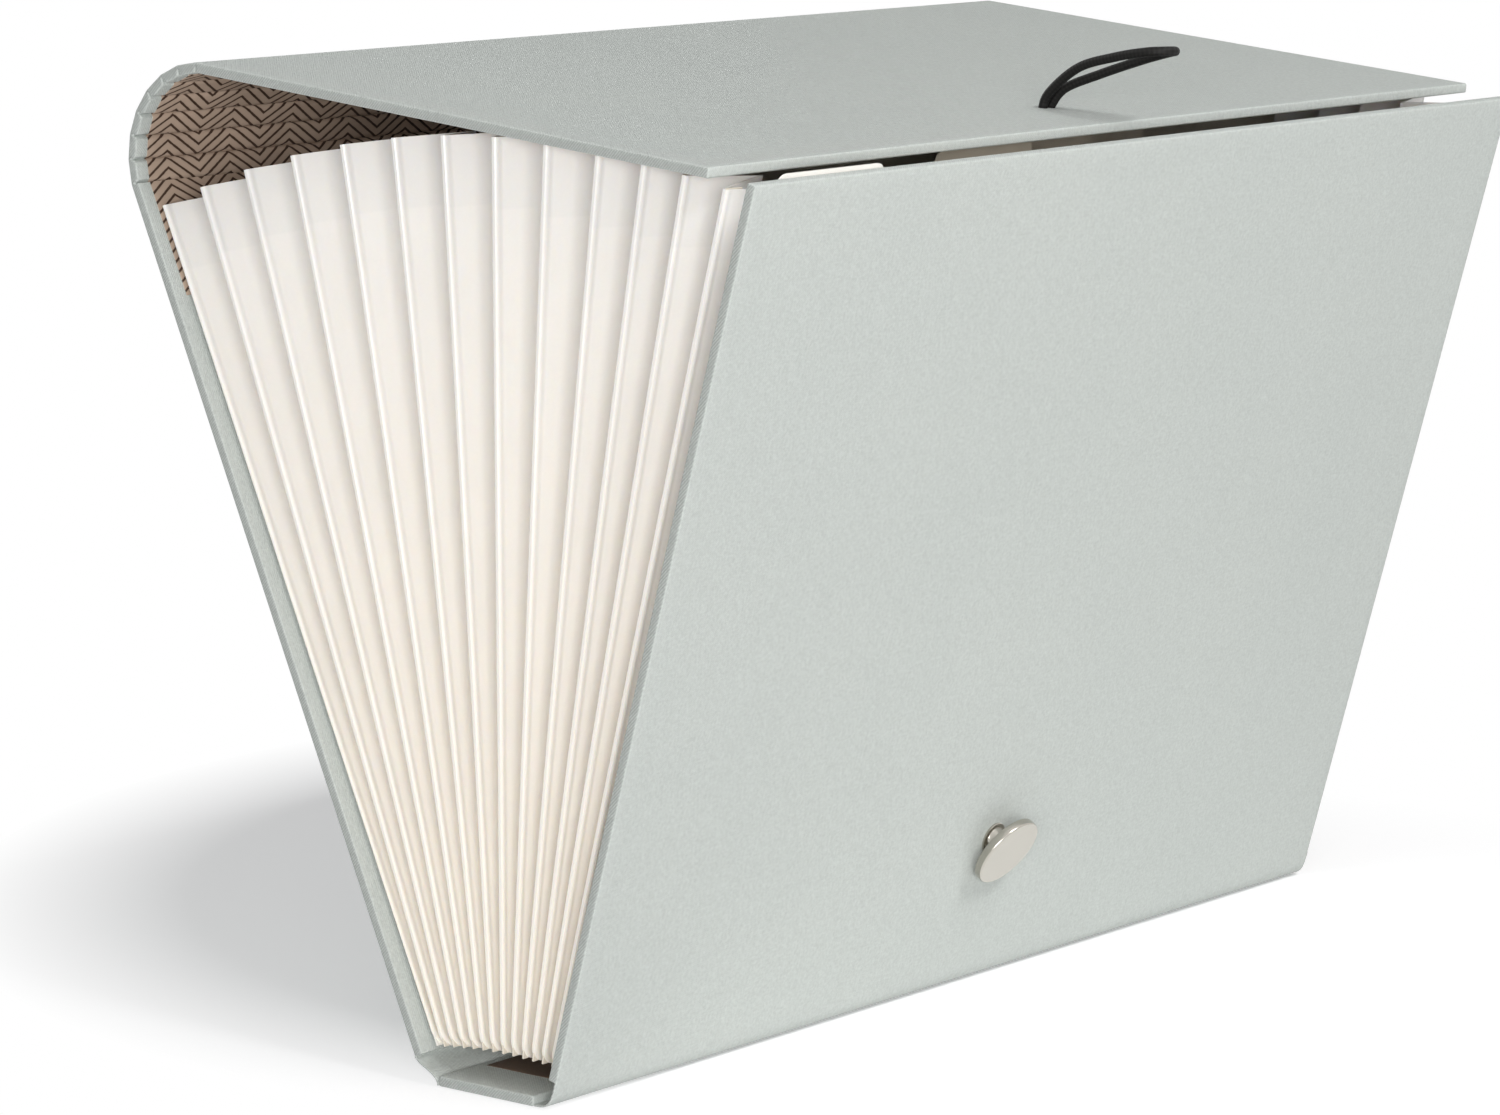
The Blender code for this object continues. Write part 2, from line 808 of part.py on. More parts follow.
def main():
    """Build the whole folder."""
    clear_scene()
    materials = {
        "cloth": finish("book_cloth", (0.58, 0.62, 0.59), 0.85),
        "board": finish("grey_board", (0.36, 0.34, 0.31), 0.9),
        "lining": finish("brown_lining_paper", (0.24, 0.17, 0.12), 0.75),
        "paper": finish("cream_paper", (0.84, 0.79, 0.70), 0.7),
        "divider": finish("cream_card", (0.80, 0.74, 0.63), 0.75),
        "metal": finish("polished_nickel", (0.66, 0.63, 0.58), 0.15, 1.0),
        "elastic": finish("black_elastic", (0.012, 0.011, 0.010), 0.6),
    }
    angles = leaf_angles()
    chain = slat_chain(resting_slope())
    tops = leaf_tops(angles, *chain[-1])
    frames = build_frames(angles, chain)
    build_case(frames, materials)
    build_stud(frames["front_cover"], materials)
    build_bellows(frames, angles, tops, materials)
    build_slats(frames, chain, materials)
    build_flap(frames["flap"], materials)
    bpy.context.view_layer.update()


main()
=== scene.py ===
"""Expanding file folder: the looks of its cloth case, roll-over top, pleated bellows, stud and loop.

Metres, +Z up. X runs along the spine, -Y is the front. Sections are worked out in the Y-Z plane.
"""

import logging
import math
from dataclasses import dataclass, field
from enum import Enum

import bmesh
import bpy
import numpy as np
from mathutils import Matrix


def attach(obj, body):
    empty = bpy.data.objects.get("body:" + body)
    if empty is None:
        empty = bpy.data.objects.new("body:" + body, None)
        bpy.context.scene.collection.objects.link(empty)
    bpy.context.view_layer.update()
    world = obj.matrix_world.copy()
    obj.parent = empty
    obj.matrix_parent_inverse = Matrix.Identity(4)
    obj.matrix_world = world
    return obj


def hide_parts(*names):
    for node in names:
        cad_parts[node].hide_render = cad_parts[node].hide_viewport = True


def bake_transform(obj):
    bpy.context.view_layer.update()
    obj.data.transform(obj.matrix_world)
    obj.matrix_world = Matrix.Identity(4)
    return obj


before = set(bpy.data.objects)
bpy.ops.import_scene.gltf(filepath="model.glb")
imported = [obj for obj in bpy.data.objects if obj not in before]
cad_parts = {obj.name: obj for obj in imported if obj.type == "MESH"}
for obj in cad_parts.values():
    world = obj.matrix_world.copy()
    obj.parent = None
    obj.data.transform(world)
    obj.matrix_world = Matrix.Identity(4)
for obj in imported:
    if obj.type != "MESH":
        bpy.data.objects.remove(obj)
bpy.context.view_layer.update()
log = logging.getLogger("folder")

Array = np.ndarray
Material = bpy.types.Material
Object = bpy.types.Object
Socket = bpy.types.NodeSocket
Pair = tuple[float, float]
Triple = tuple[float, float, float]

MM = 0.001
QUARTER = math.pi / 2
PITCH = 3 * MM  # spacing of the points along a sheet
EDGE_STEPS = 5  # steps in the quarter circle of a board's edge
END_STEPS = 4  # steps in the quarter circle at the end of a carried outline
STRIP_STEPS = 4  # steps in the half circle along a strip's edge
SHARP = math.radians(38)  # edges that turn more than this stay sharp
MERGED = 0.001 * MM  # points closer than this are one
TINY = 1e-12
FIBRE_SCALE = (900.0, 2600.0, 1400.0)  # noise scale of paper's fibres along x, y and z
CLOUD_SHARE = 0.6  # share of the clouding in paper's tone; the fibres have the rest


class Ends(Enum):
    """How the ends of a carried outline are closed."""

    FLAT = "one flat face"
    PAIRED = "quads between the two sides"
    MEET = "the two sides meet"


class Slot(Enum):
    """Material slots of the record, one for each kind of finish."""

    CLOTH = "book_cloth"
    LINING = "brown_lining_paper"
    PAPER = "cream_paper"
    METAL = "polished_nickel"
    ELASTIC = "black_elastic"


def along(angle: float) -> Array:
    """Unit vector (y, z) that leans from +Z towards +Y by the angle."""
    return np.array([math.sin(angle), math.cos(angle)])


def across(angle: float) -> Array:
    """Unit vector (y, z) square to along(angle), on its +Y side when upright."""
    return np.array([math.cos(angle), -math.sin(angle)])


def spaced(low: float, high: float) -> Array:
    """Evenly spaced values from low to high, at most a pitch apart."""
    return np.linspace(low, high, max(2, int(math.ceil((high - low) / PITCH)) + 1))


def arc_length(points: Array) -> Array:
    """Running length along a line of points, from zero."""
    return np.concatenate([[0.0], np.cumsum(np.linalg.norm(np.diff(points, axis=0), axis=1))])


def tangents(points: Array) -> Array:
    """Unit direction along a line of points, by central differences."""
    slope = np.gradient(points, axis=0)
    return slope / np.linalg.norm(slope, axis=1, keepdims=True)


def right_of(direction: Array) -> Array:
    """Each (y, z) direction turned a quarter turn clockwise."""
    return np.stack([direction[:, 1], -direction[:, 0]], axis=1)


def bezier(controls: tuple[Array, ...], count: int) -> Array:
    """Points on a Bezier curve: the sum of C(n, k) t^k (1-t)^(n-k) times control point k."""
    t, n = np.linspace(0, 1, count)[:, None], len(controls) - 1
    return sum(math.comb(n, k) * t**k * (1 - t) ** (n - k) * point for k, point in enumerate(controls))


@dataclass(frozen=True)
class Plane:
    """A flat face's own axes in the Y-Z plane: an origin and a lean."""

    origin: Pair
    angle: float

    def at(self, across_by: Array, along_by: Array) -> Array:
        """Points (y, z) that lie across_by off the plane and along_by up it."""
        off = np.asarray(across_by, float)[..., None] * across(self.angle)
        return np.array(self.origin) + off + np.asarray(along_by, float)[..., None] * along(self.angle)


@dataclass(frozen=True)
class Leaf:
    """One leaf of the bellows: its plane, and its top and bottom along it."""

    plane: Plane
    top: float
    bottom: float


@dataclass(frozen=True)
class Sizes:
    """Sizes of the folder, the same as the frame's, and what follows from them."""

    case_width: float = 330 * MM
    cover_height: float = 227 * MM
    spine_width: float = 30.4 * MM
    flap_length: float = 163.1 * MM
    covered: float = 2.6 * MM
    edge_radius: float = 0.5 * MM
    cloth: float = 0.3 * MM
    hinge_offset: float = 3.2 * MM
    hinge_height: float = 3.4 * MM
    hinge_inset: float = 0.5 * MM
    cover_start: float = 4.5 * MM
    front_lean: float = math.radians(15.6)
    back_lean: float = math.radians(23.9)
    slats: int = 7
    slat_joint: float = 0.9 * MM
    slat_pitch: float = 6.4 * MM
    flap_seat_rise: float = 2.6 * MM
    opening_shares: tuple[float, ...] = (1.5, 2.4, 2.4, 2.8, 3.3, 3.35, 3.35, 3.3, 3.55, 3.55, 3.45, 3.35, 3.2)
    bellows_inset: float = 5 * MM
    leaf_start: float = 5.2 * MM
    leaf_start_rise: float = 1.2 * MM
    leaf_top_drop: float = 2.9 * MM
    leaf_side_drop: float = 3.9 * MM
    flap_clearance: float = 0.7 * MM
    back_sheet_offset: float = 0.6 * MM
    steepest_flap: float = math.pi / 6
    halvings: int = 40

    @property
    def half(self) -> float:
        """Half the case's width."""
        return self.case_width / 2

    @property
    def hinge_y(self) -> float:
        """Distance of each cover's hinge line from the middle of the spine."""
        return self.spine_width / 2 + self.hinge_offset

    @property
    def cover_top(self) -> float:
        """Height of a cover's top edge along the cover, from its hinge line."""
        return self.cover_start + self.cover_height

    @property
    def outer_face(self) -> float:
        """Distance of a cover's outer face from its hinge line."""
        return self.hinge_inset + self.covered

    @property
    def front(self) -> Plane:
        """Plane through the front cover's hinge line, along the cover."""
        return Plane((-self.hinge_y, self.hinge_height), -self.front_lean)

    @property
    def back(self) -> Plane:
        """Plane through the back cover's hinge line, along the cover."""
        return Plane((self.hinge_y, self.hinge_height), self.back_lean)

    def chain(self, slope: float) -> list[Plane]:
        """Outer faces of the slats and the flap, each from its hinge line.

        Every hinge turns by the same angle, so that together they turn from the back cover to the flap.

        Args:
            slope: How far the flap slopes down towards the front, in radians.

        Returns:
            A plane for each slat, from the back, and the flap's last.
        """
        bend = (self.back_lean + QUARTER + slope) / (self.slats + 1)
        point = self.back.at(self.outer_face, self.cover_top + self.slat_joint / 2)
        planes = [Plane(tuple(point), self.back_lean - bend)]
        for _ in range(self.slats):
            angle = planes[-1].angle
            point = point + along(angle) * self.slat_pitch
            planes.append(Plane(tuple(point), angle - bend))
        return planes

    def resting_chain(self) -> list[Plane]:
        """The chain whose flap ends just above the front cover, found by halving a range of slopes.

        Returns:
            The planes of the slats and the flap.
        """
        wanted = self.front.at(0.0, self.cover_top)[1] + self.flap_seat_rise
        low, high = 0.0, self.steepest_flap
        for _ in range(self.halvings):
            middle = (low + high) / 2
            reached = self.chain(middle)[-1].at(0.0, self.flap_length)[1]
            low, high = (middle, high) if reached > wanted else (low, middle)
        return self.chain((low + high) / 2)

    def leaves(self, flap: Plane) -> list[Leaf]:
        """Front sheet, dividers and back sheet under a flap.

        The leaves' angles share out the whole opening unevenly. A leaf ends lower by the square of its
        share of the back cover's lean, and one that is under the flap ends short of it.

        Args:
            flap: Plane of the flap's outer face.

        Returns:
            The leaves, front to back.
        """
        opened = np.concatenate([[0.0], np.cumsum(self.opening_shares)]) / sum(self.opening_shares)
        under = flap.at(-self.covered - self.flap_clearance, 0.0)
        front_edge = flap.at(0.0, self.flap_length)[0]
        found = []
        for index, angle in enumerate(-self.front_lean + (self.front_lean + self.back_lean) * opened):
            share = index / len(self.opening_shares)
            plane = Plane((self.hinge_y * (2 * share - 1), self.hinge_height), float(angle))
            lean = (angle / self.back_lean) ** 2
            top = self.cover_top - self.leaf_top_drop - self.leaf_side_drop * lean
            reach = (under - np.array(plane.origin)) @ across(flap.angle) / (along(angle) @ across(flap.angle))
            if plane.at(0.0, top)[0] > front_edge - self.flap_clearance:
                top = min(top, reach)
            found.append(Leaf(plane, float(top), float(self.leaf_start + self.leaf_start_rise * (1 - lean))))
        return found


# Meshes


def add_object(name: str, data: bpy.types.ID) -> Object:
    """Object with its data, in the scene.

    Args:
        name: The object's name.
        data: Its mesh, light or camera.

    Returns:
        The object.
    """
    item = bpy.data.objects.new(name, data)
    bpy.context.scene.collection.objects.link(item)
    return item


class Patchwork:
    """Grids of points and flat caps, gathered into one closed mesh with a UV map in metres."""

    def __init__(self) -> None:
        """Start with no points."""
        self.points: list[Array] = []
        self.faces: list[list[int]] = []
        self.uvs: list[Array] = []
        self.count = 0

    def add_points(self, points: Array) -> int:
        """Add a block of points.

        Args:
            points: Points, with (x, y, z) along the last axis.

        Returns:
            The number of the first one.
        """
        start = self.count
        self.points.append(points.reshape(-1, 3))
        self.count += len(self.points[-1])
        return start

    def join(self, index: Array, uv: Array) -> None:
        """Quads between the neighbours in a grid of point numbers.

        Args:
            index: Point numbers (rows, columns).
            uv: U and V for each (rows, columns, 2).
        """
        numbers, places = ((g[:-1, :-1], g[:-1, 1:], g[1:, 1:], g[1:, :-1]) for g in (index, uv))
        self.faces += np.stack(numbers, axis=2).reshape(-1, 4).tolist()
        self.uvs.append(np.stack(places, axis=2).reshape(-1, 2))

    def grid(self, points: Array, u: Array, v: Array, ring: bool = False) -> Array:
        """Quads over a grid of points.

        Args:
            points: Points (rows, columns, 3).
            u: U of each row.
            v: V of each column, and on a ring once more for the first one.
            ring: Whether the last column joins the first.

        Returns:
            The point numbers (rows, columns).
        """
        index = self.add_points(points) + np.arange(points[..., 0].size).reshape(points.shape[:2])
        wide = np.concatenate([index, index[:, :1]], axis=1) if ring else index
        self.join(wide, np.stack(np.meshgrid(u, v, indexing="ij"), axis=-1))
        return index

    def cap(self, index: Array, uv: Array) -> None:
        """One flat face over a closed line of points that are in the mesh."""
        self.faces.append([int(i) for i in index])
        self.uvs.append(np.asarray(uv, float))

    def caps(self, index: Array, uv: Array) -> None:
        """Flat faces over the two ends of a carried closed line."""
        self.cap(index[-1], uv)
        self.cap(index[0][::-1], uv[::-1])

    def void(self, low: Array, high: Array, plane: Plane) -> None:
        """Closed box-shaped hollow, its faces turned inwards.

        Args:
            low: Lowest x, distance across the plane and distance along it.
            high: The highest ones.
            plane: Plane that the box is square to.
        """
        unit = np.array([[x, y, z] for x in (0, 1) for y in (0, 1) for z in (0, 1)], float)
        local = low + unit * (high - low)
        start = self.add_points(np.column_stack([local[:, 0], plane.at(local[:, 1], local[:, 2])]))
        for face in ((0, 2, 3, 1), (4, 5, 7, 6), (0, 1, 5, 4), (2, 6, 7, 3), (0, 4, 6, 2), (1, 3, 7, 5)):
            self.cap(start + np.array(face), local[list(face), :][:, [0, 2]])

    def mesh(self, name: str) -> bpy.types.Mesh:
        """Mesh of all the parts, with coincident points merged and smooth shading.

        Args:
            name: The mesh's name.

        Returns:
            The mesh.
        """
        data = bpy.data.meshes.new(name)
        data.from_pydata(np.concatenate(self.points).tolist(), [], self.faces)
        layer = data.uv_layers.new(name="UVMap")
        layer.data.foreach_set("uv", np.concatenate(self.uvs).astype(np.float32).ravel())
        shape = bmesh.new()
        shape.from_mesh(data)
        bmesh.ops.remove_doubles(shape, verts=shape.verts, dist=MERGED)
        shape.to_mesh(data)
        shape.free()
        data.shade_smooth()
        data.set_sharp_from_angle(angle=SHARP)
        return data

    def piece(self, name: str, material: Material, slot: Slot) -> Object:
        """Object at the origin with the mesh and its material.

        Args:
            name: The piece's name.
            material: Its finish.
            slot: The slot of the record that the finish stands for. Not used.

        Returns:
            The object.
        """
        item = add_object(name, self.mesh(name))
        item.data.materials.append(material)
        log.info("%s: %d points", name, len(item.data.vertices))
        return item


@dataclass
class Ring:
    """Closed outline in the Y-Z plane, anticlockwise: core points, and the way each is pushed out.

    V of the UV map is given for each point, and once more for the first one at the end.
    """

    core: Array
    normal: Array
    radius: float
    v: Array
    ends: Ends = Ends.FLAT

    def carried(self, half: float) -> Patchwork:
        """Solid made by carrying the outline along X, its ends rounded by a quarter circle.

        A point is core + push * normal. The push is the radius, and at the ends radius * sin(turn)
        while X goes in by radius * (1 - cos(turn)). U is X, and V goes round the outline.

        Args:
            half: Half the solid's length along X.

        Returns:
            The patchwork, closed as the ring's ends say.
        """
        turn = np.linspace(0, QUARTER, END_STEPS + 1)[:-1]
        inward, growing = self.radius * (1 - np.cos(turn)), self.radius * np.sin(turn)
        middle = spaced(self.radius - half, half - self.radius)
        x = np.concatenate([inward - half, middle, (half - inward)[::-1]])
        push = np.concatenate([growing, np.full(len(middle), self.radius), growing[::-1]])
        section = self.core[None] + push[:, None, None] * self.normal[None]
        points = np.concatenate([np.broadcast_to(x[:, None, None], (*section.shape[:2], 1)), section], axis=2)
        work = Patchwork()
        index = work.grid(points, x, self.v, ring=True)
        if self.ends is Ends.FLAT:
            work.caps(index, self.core)
        if self.ends is Ends.PAIRED:
            pairs = np.arange(len(self.core)).reshape(2, -1)
            pairs[1] = pairs[1][::-1]
            work.join(index[-1][pairs], self.core[pairs])
            work.join(index[0][pairs[::-1]], self.core[pairs[::-1]])
        return work


@dataclass(frozen=True)
class Slab:
    """Flat board: its lower and higher distance across and along a plane, and which ends are rounded."""

    plane: Plane
    faces: Pair
    ends: Pair
    rounded: tuple[bool, bool]

    def ring(self, radius: float) -> Ring:
        """Outline from the lower end up the higher face and back.

        Args:
            radius: Radius of the board's rounded edges.

        Returns:
            The outline, closed by flat faces.
        """
        arc = np.linspace(0, QUARTER, EDGE_STEPS + 1)
        bottom, top = (end + sign * radius * turned for end, sign, turned in zip(self.ends, (1, -1), self.rounded))
        low, high = self.faces[0] + radius, self.faces[1] - radius
        rise = spaced(bottom, top)
        # Each run: distances across and along, and turns of the normal from across to along.
        runs = [(high, rise, np.zeros(1))]
        if self.rounded[1]:
            runs += [(high, top, arc[1:]), (low, top, arc[:-1] + QUARTER)]
        runs.append((low, rise[::-1], np.array([math.pi])))
        if self.rounded[0]:
            runs += [(low, bottom, arc[1:] + math.pi), (high, bottom, arc[:-1] - QUARTER)]
        off, up, turn = np.concatenate([np.stack(np.broadcast_arrays(*run)) for run in runs], axis=1)
        lean = self.plane.angle
        core = self.plane.at(off, up)
        normal = np.cos(turn)[:, None] * across(lean) + np.sin(turn)[:, None] * along(lean)
        full = core + radius * normal
        return Ring(core, normal, radius, arc_length(np.concatenate([full, full[:1]])))


def strip_ring(path: Array, thickness: float, start: float = 0.0) -> Ring:
    """Outline of a thin strip: a path pushed half the thickness to both sides, with round ends.

    V is the start plus the length along the path, on both sides.

    Args:
        path: Points (y, z) along the strip's middle.
        thickness: The strip's thickness.
        start: V at the first point.

    Returns:
        The outline, whose two sides meet at the strip's ends along X.
    """
    way = tangents(path)
    side = right_of(way)
    arc = np.linspace(0, math.pi, STRIP_STEPS + 1)[1:-1, None]
    first = -np.cos(arc) * side[:1] - np.sin(arc) * way[:1]
    last = np.cos(arc) * side[-1:] + np.sin(arc) * way[-1:]
    core = np.concatenate([path, path[-1:] + 0 * arc, path[::-1], path[:1] + 0 * arc])
    normal = np.concatenate([side, last, -side[::-1], first])
    run = start + arc_length(path)
    v = np.concatenate([run, np.full(len(arc), run[-1]), run[::-1], np.full(len(arc) + 1, run[0])])
    return Ring(core, normal, thickness / 2, v, Ends.MEET)


def band_ring(outer: Array, inner: Array, radius: float, start: float = 0.0) -> Ring:
    """Outline of a thick band between an outer and an inner line, with square ends.

    V is the start plus the length along the outer line, on both sides.

    Args:
        outer: Points (y, z) along the outer face.
        inner: As many points along the inner face.
        radius: Radius of the edges at the band's ends along X.
        start: V at the first point.

    Returns:
        The outline, closed by quads from line to line.
    """
    out_normal, in_normal = right_of(tangents(outer)), -right_of(tangents(inner))
    core = np.concatenate([outer - radius * out_normal, (inner - radius * in_normal)[::-1]])
    run = start + arc_length(outer)
    v = np.concatenate([run, run[::-1], run[:1]])
    return Ring(core, np.concatenate([out_normal, in_normal[::-1]]), radius, v, Ends.PAIRED)


def thick_sheet(middle: Array, thickness: float, u: Array, v: Array) -> Patchwork:
    """Closed sheet of even thickness about a grid of points.

    The normal is the unit cross product of the grid's two slopes. Both faces lie half the
    thickness off along it, and four rims join them.

    Args:
        middle: Points (rows, columns, 3) in the middle of the thickness.
        thickness: The sheet's thickness.
        u: U of each row.
        v: V of each column.

    Returns:
        The patchwork of the faces and the rims.
    """
    normal = np.cross(np.gradient(middle, axis=1), np.gradient(middle, axis=0))
    normal /= np.linalg.norm(normal, axis=2, keepdims=True) + TINY
    work = Patchwork()
    top = work.grid(middle + normal * thickness / 2, u, v)
    below = work.grid((middle - normal * thickness / 2)[:, ::-1], u, v[::-1])[:, ::-1]
    level = np.array([[thickness], [0.0]])
    for near, far, run in (
        (top[0][::-1], below[0][::-1], v[::-1]),
        (top[-1], below[-1], v),
        (top[:, 0], below[:, 0], u),
        (top[:, -1][::-1], below[:, -1][::-1], u[::-1]),
    ):
        work.join(np.stack([far, near]), np.stack(np.broadcast_arrays(run, level), axis=-1))
    return work


# Finishes


class Nodes:
    """Node tree of a material or a world, with short ways to add and join nodes."""

    def __init__(self, owner: bpy.types.ID) -> None:
        """Take the owner's tree and the shader that it starts with.

        Args:
            owner: Material or world.
        """
        owner.use_nodes = True
        self.owner = owner
        self.tree = owner.node_tree
        self.shader = next(node for node in self.tree.nodes if node.outputs)

    def node(self, kind: str, inputs: dict | None = None, **settings: object) -> bpy.types.Node:
        """Add a node.

        Args:
            kind: The node's type, without ShaderNode in front.
            inputs: Values or links for its inputs, by name or number.
            **settings: The node's own settings.

        Returns:
            The node.
        """
        made = self.tree.nodes.new("ShaderNode" + kind)
        for key, value in settings.items():
            setattr(made, key, value)
        for key, value in (inputs or {}).items():
            self.feed(made.inputs[key], value)
        return made

    def feed(self, target: Socket, value: object) -> None:
        """Link a socket to an input, or set the input's value.

        Args:
            target: The input.
            value: Socket, number or colour.
        """
        if isinstance(value, Socket):
            self.tree.links.new(value, target)
        else:
            target.default_value = value

    def set(self, **values: object) -> None:
        """Set or link the shader's inputs, named with _ for a space."""
        for key, value in values.items():
            self.feed(self.shader.inputs[key.replace("_", " ")], value)

    def math(self, operation: str, *values: object) -> Socket:
        """Result of a Math node on numbers or sockets."""
        return self.node("Math", dict(enumerate(values)), operation=operation).outputs[0]

    def add(self, *values: object) -> Socket:
        """Sum of two numbers or sockets."""
        return self.math("ADD", *values)

    def times(self, *values: object) -> Socket:
        """Product of two numbers or sockets."""
        return self.math("MULTIPLY", *values)

    def uv(self) -> list[Socket]:
        """The piece's UV map, in metres, as two sockets."""
        return self.split(self.node("UVMap", uv_map="UVMap").outputs[0])[:2]

    def place(self) -> Socket:
        """Object coordinates."""
        return self.node("TexCoord").outputs["Object"]

    def split(self, vector: Socket) -> list[Socket]:
        """The three parts of a vector."""
        return list(self.node("SeparateXYZ", {0: vector}).outputs)

    def vector(self, *values: object) -> Socket:
        """Vector put together from numbers or sockets."""
        return self.node("CombineXYZ", dict(enumerate(values))).outputs[0]

    def noise(self, vector: Socket, scale: float, detail: float) -> Socket:
        """Smooth noise, from 0 to 1."""
        return self.node("TexNoise", {"Vector": vector, "Scale": scale, "Detail": detail}).outputs[0]

    def drawn_noise(self, scale: Triple, detail: float) -> Socket:
        """Noise with its own scale along each axis of the object."""
        return self.noise(self.node("Mapping", {"Vector": self.place(), "Scale": scale}).outputs[0], 1.0, detail)

    def spread(
        self, value: object, low: float = 0.3, high: float = 0.7, to_low: object = 0.0, to_high: object = 1.0
    ) -> Socket:
        """Value mapped from one range, by itself that of noise, to another, held at the ends."""
        return self.node("MapRange", dict(enumerate((value, low, high, to_low, to_high)))).outputs[0]

    def mix(self, share: object, first: object, second: object, kind: str = "MIX") -> Socket:
        """Two colours mixed by a share. A Mix node's colours are its inputs 6 and 7 and its output 2."""
        return self.node("Mix", {0: share, 6: first, 7: second}, data_type="RGBA", blend_type=kind).outputs[2]

    def product(self, first: object, second: object) -> Socket:
        """Two colours multiplied."""
        return self.mix(1.0, first, second, "MULTIPLY")

    def tinted(self, share: object, colour: Triple, darker: float, lighter: float) -> Socket:
        """A colour between a darker and a lighter tone of it."""
        return self.mix(share, tone(colour, darker), tone(colour, lighter))

    def bump(self, height: Socket, distance: float, strength: float) -> None:
        """Bump the shader's normal by a height."""
        inputs = {"Height": height, "Distance": distance, "Strength": strength}
        self.set(Normal=self.node("Bump", inputs).outputs[0])

    def paper(self) -> tuple[Socket, Socket, Socket]:
        """Fibres and clouding of paper: noise drawn out along one way, and broad noise.

        Returns:
            The fibres, the clouding, and the tone that they make together.
        """
        fibre = self.drawn_noise(FIBRE_SCALE, detail=3.0)
        cloud = self.noise(self.place(), scale=45.0, detail=4.0)
        parts = (self.spread(cloud, to_high=CLOUD_SHARE), self.spread(fibre, to_high=1 - CLOUD_SHARE))
        return fibre, cloud, self.add(*parts)

    def seen(self) -> Socket:
        """Whether a surface is seen, or only gives light.

        Returns:
            1 where it is seen, reflected or seen through, and 0 elsewhere.
        """
        path = self.node("LightPath").outputs
        rays = self.add(path["Is Camera Ray"], path["Is Glossy Ray"])
        return self.math("MINIMUM", self.add(rays, path["Is Transmission Ray"]), 1.0)


def tone(colour: Triple, factor: float = 1.0) -> tuple[float, float, float, float]:
    """Linear colour times a factor, with alpha 1."""
    return (*(min(1.0, c * factor) for c in colour), 1.0)


@dataclass(frozen=True)
class BookCloth:
    """Plain-weave book cloth: over-and-under threads, slubs along both, and a soft nap."""

    colour: Triple = (0.575, 0.610, 0.586)
    cloud_tint: Triple = (0.978, 0.982, 0.985)
    contrast: float = 0.16
    thread: float = 0.40 * MM
    rib_share: float = 0.5
    slub_draw: float = 0.15
    slub_scale: float = 0.9
    slub_layer: float = 3.0
    slub_range: Pair = (0.6, 1.4)
    slub_height: float = 0.8
    grain_scale: float = 1300.0
    grain_range: Pair = (0.32, 0.68)
    grain_height: float = 2.0
    cloud_scale: float = 14.0
    slub_share: float = 0.25
    weave_share: float = 0.35
    grain_share: float = 0.4
    # Painted shade on the ends that face along X: their darker tone, the spacing and depth of a painted rib, and
    # how squarely they must face.
    end_painted_shade: float = 0.75
    end_rib: float = 0.85 * MM
    end_rib_shade_depth: float = 0.22
    end_facing: Pair = (0.55, 0.92)

    def ends(self, n: Nodes, colour: Socket) -> Socket:
        """Painted shade on the ends that face along X: darker, and ribbed by sin(2 pi (y + z) / rib).

        Args:
            n: The material's nodes.
            colour: Colour of the flat cloth.

        Returns:
            The cloth's colour with painted shade on its ends.
        """
        facing = n.split(n.node("TexCoord").outputs["Normal"])[0]
        _, y, z = n.split(n.place())
        wave = n.math("SINE", n.times(n.add(y, z), math.tau / self.end_rib))
        deep = self.end_rib_shade_depth / 2
        rib = n.spread(wave, -1.0, 1.0, self.end_painted_shade - deep, self.end_painted_shade + deep)
        shade = n.spread(n.math("ABSOLUTE", facing), *self.end_facing, 1.0, rib)
        return n.product(colour, n.vector(shade, shade, shade))

    def material(self) -> Material:
        """Threads are sin(2 pi u) * sin(2 pi v), under a fine diagonal rib; grain is noise at three scales.

        Returns:
            The material.
        """
        n = Nodes(bpy.data.materials.new("book_cloth_weave"))
        u, v = (n.times(way, 1 / self.thread) for way in n.uv())
        waves = [n.math("SINE", n.times(way, math.tau)) for way in (u, v)]
        weave = n.add(n.times(*waves), n.math("SINE", n.times(n.add(u, v), math.tau * self.rib_share)))
        long_slub = n.noise(n.vector(n.times(u, self.slub_draw), v, 0.0), self.slub_scale, detail=1.0)
        tall_slub = n.noise(n.vector(u, n.times(v, self.slub_draw), self.slub_layer), self.slub_scale, detail=1.0)
        slub = n.add(long_slub, tall_slub)
        grain = n.noise(n.place(), self.grain_scale, detail=3.0)
        cloud = n.spread(n.noise(n.place(), self.cloud_scale, detail=3.0))
        slubs = n.spread(slub, *self.slub_range, 0.0, self.slub_share)
        # The weave's share paints shade into the weave's hollows, where its bump is low; slubs and grain are the
        # cloth's own tone.
        level = n.add(slubs, n.spread(weave, -2.0, 2.0, 0.0, self.weave_share))
        level = n.add(level, n.spread(grain, *self.grain_range, 0.0, self.grain_share))
        plain = n.tinted(level, self.colour, 1 - self.contrast, 1 + self.contrast)
        # The ends along X get painted shade.
        colour = self.ends(n, n.mix(cloud, plain, n.product(plain, tone(self.cloud_tint))))
        n.set(Base_Color=colour, Roughness=0.85, Sheen_Weight=0.06, Sheen_Roughness=0.5, Specular_IOR_Level=0.25)
        height = n.add(n.add(weave, n.times(slub, self.slub_height)), n.times(grain, self.grain_height))
        n.bump(height, distance=0.05 * MM, strength=0.8)
        return n.owner


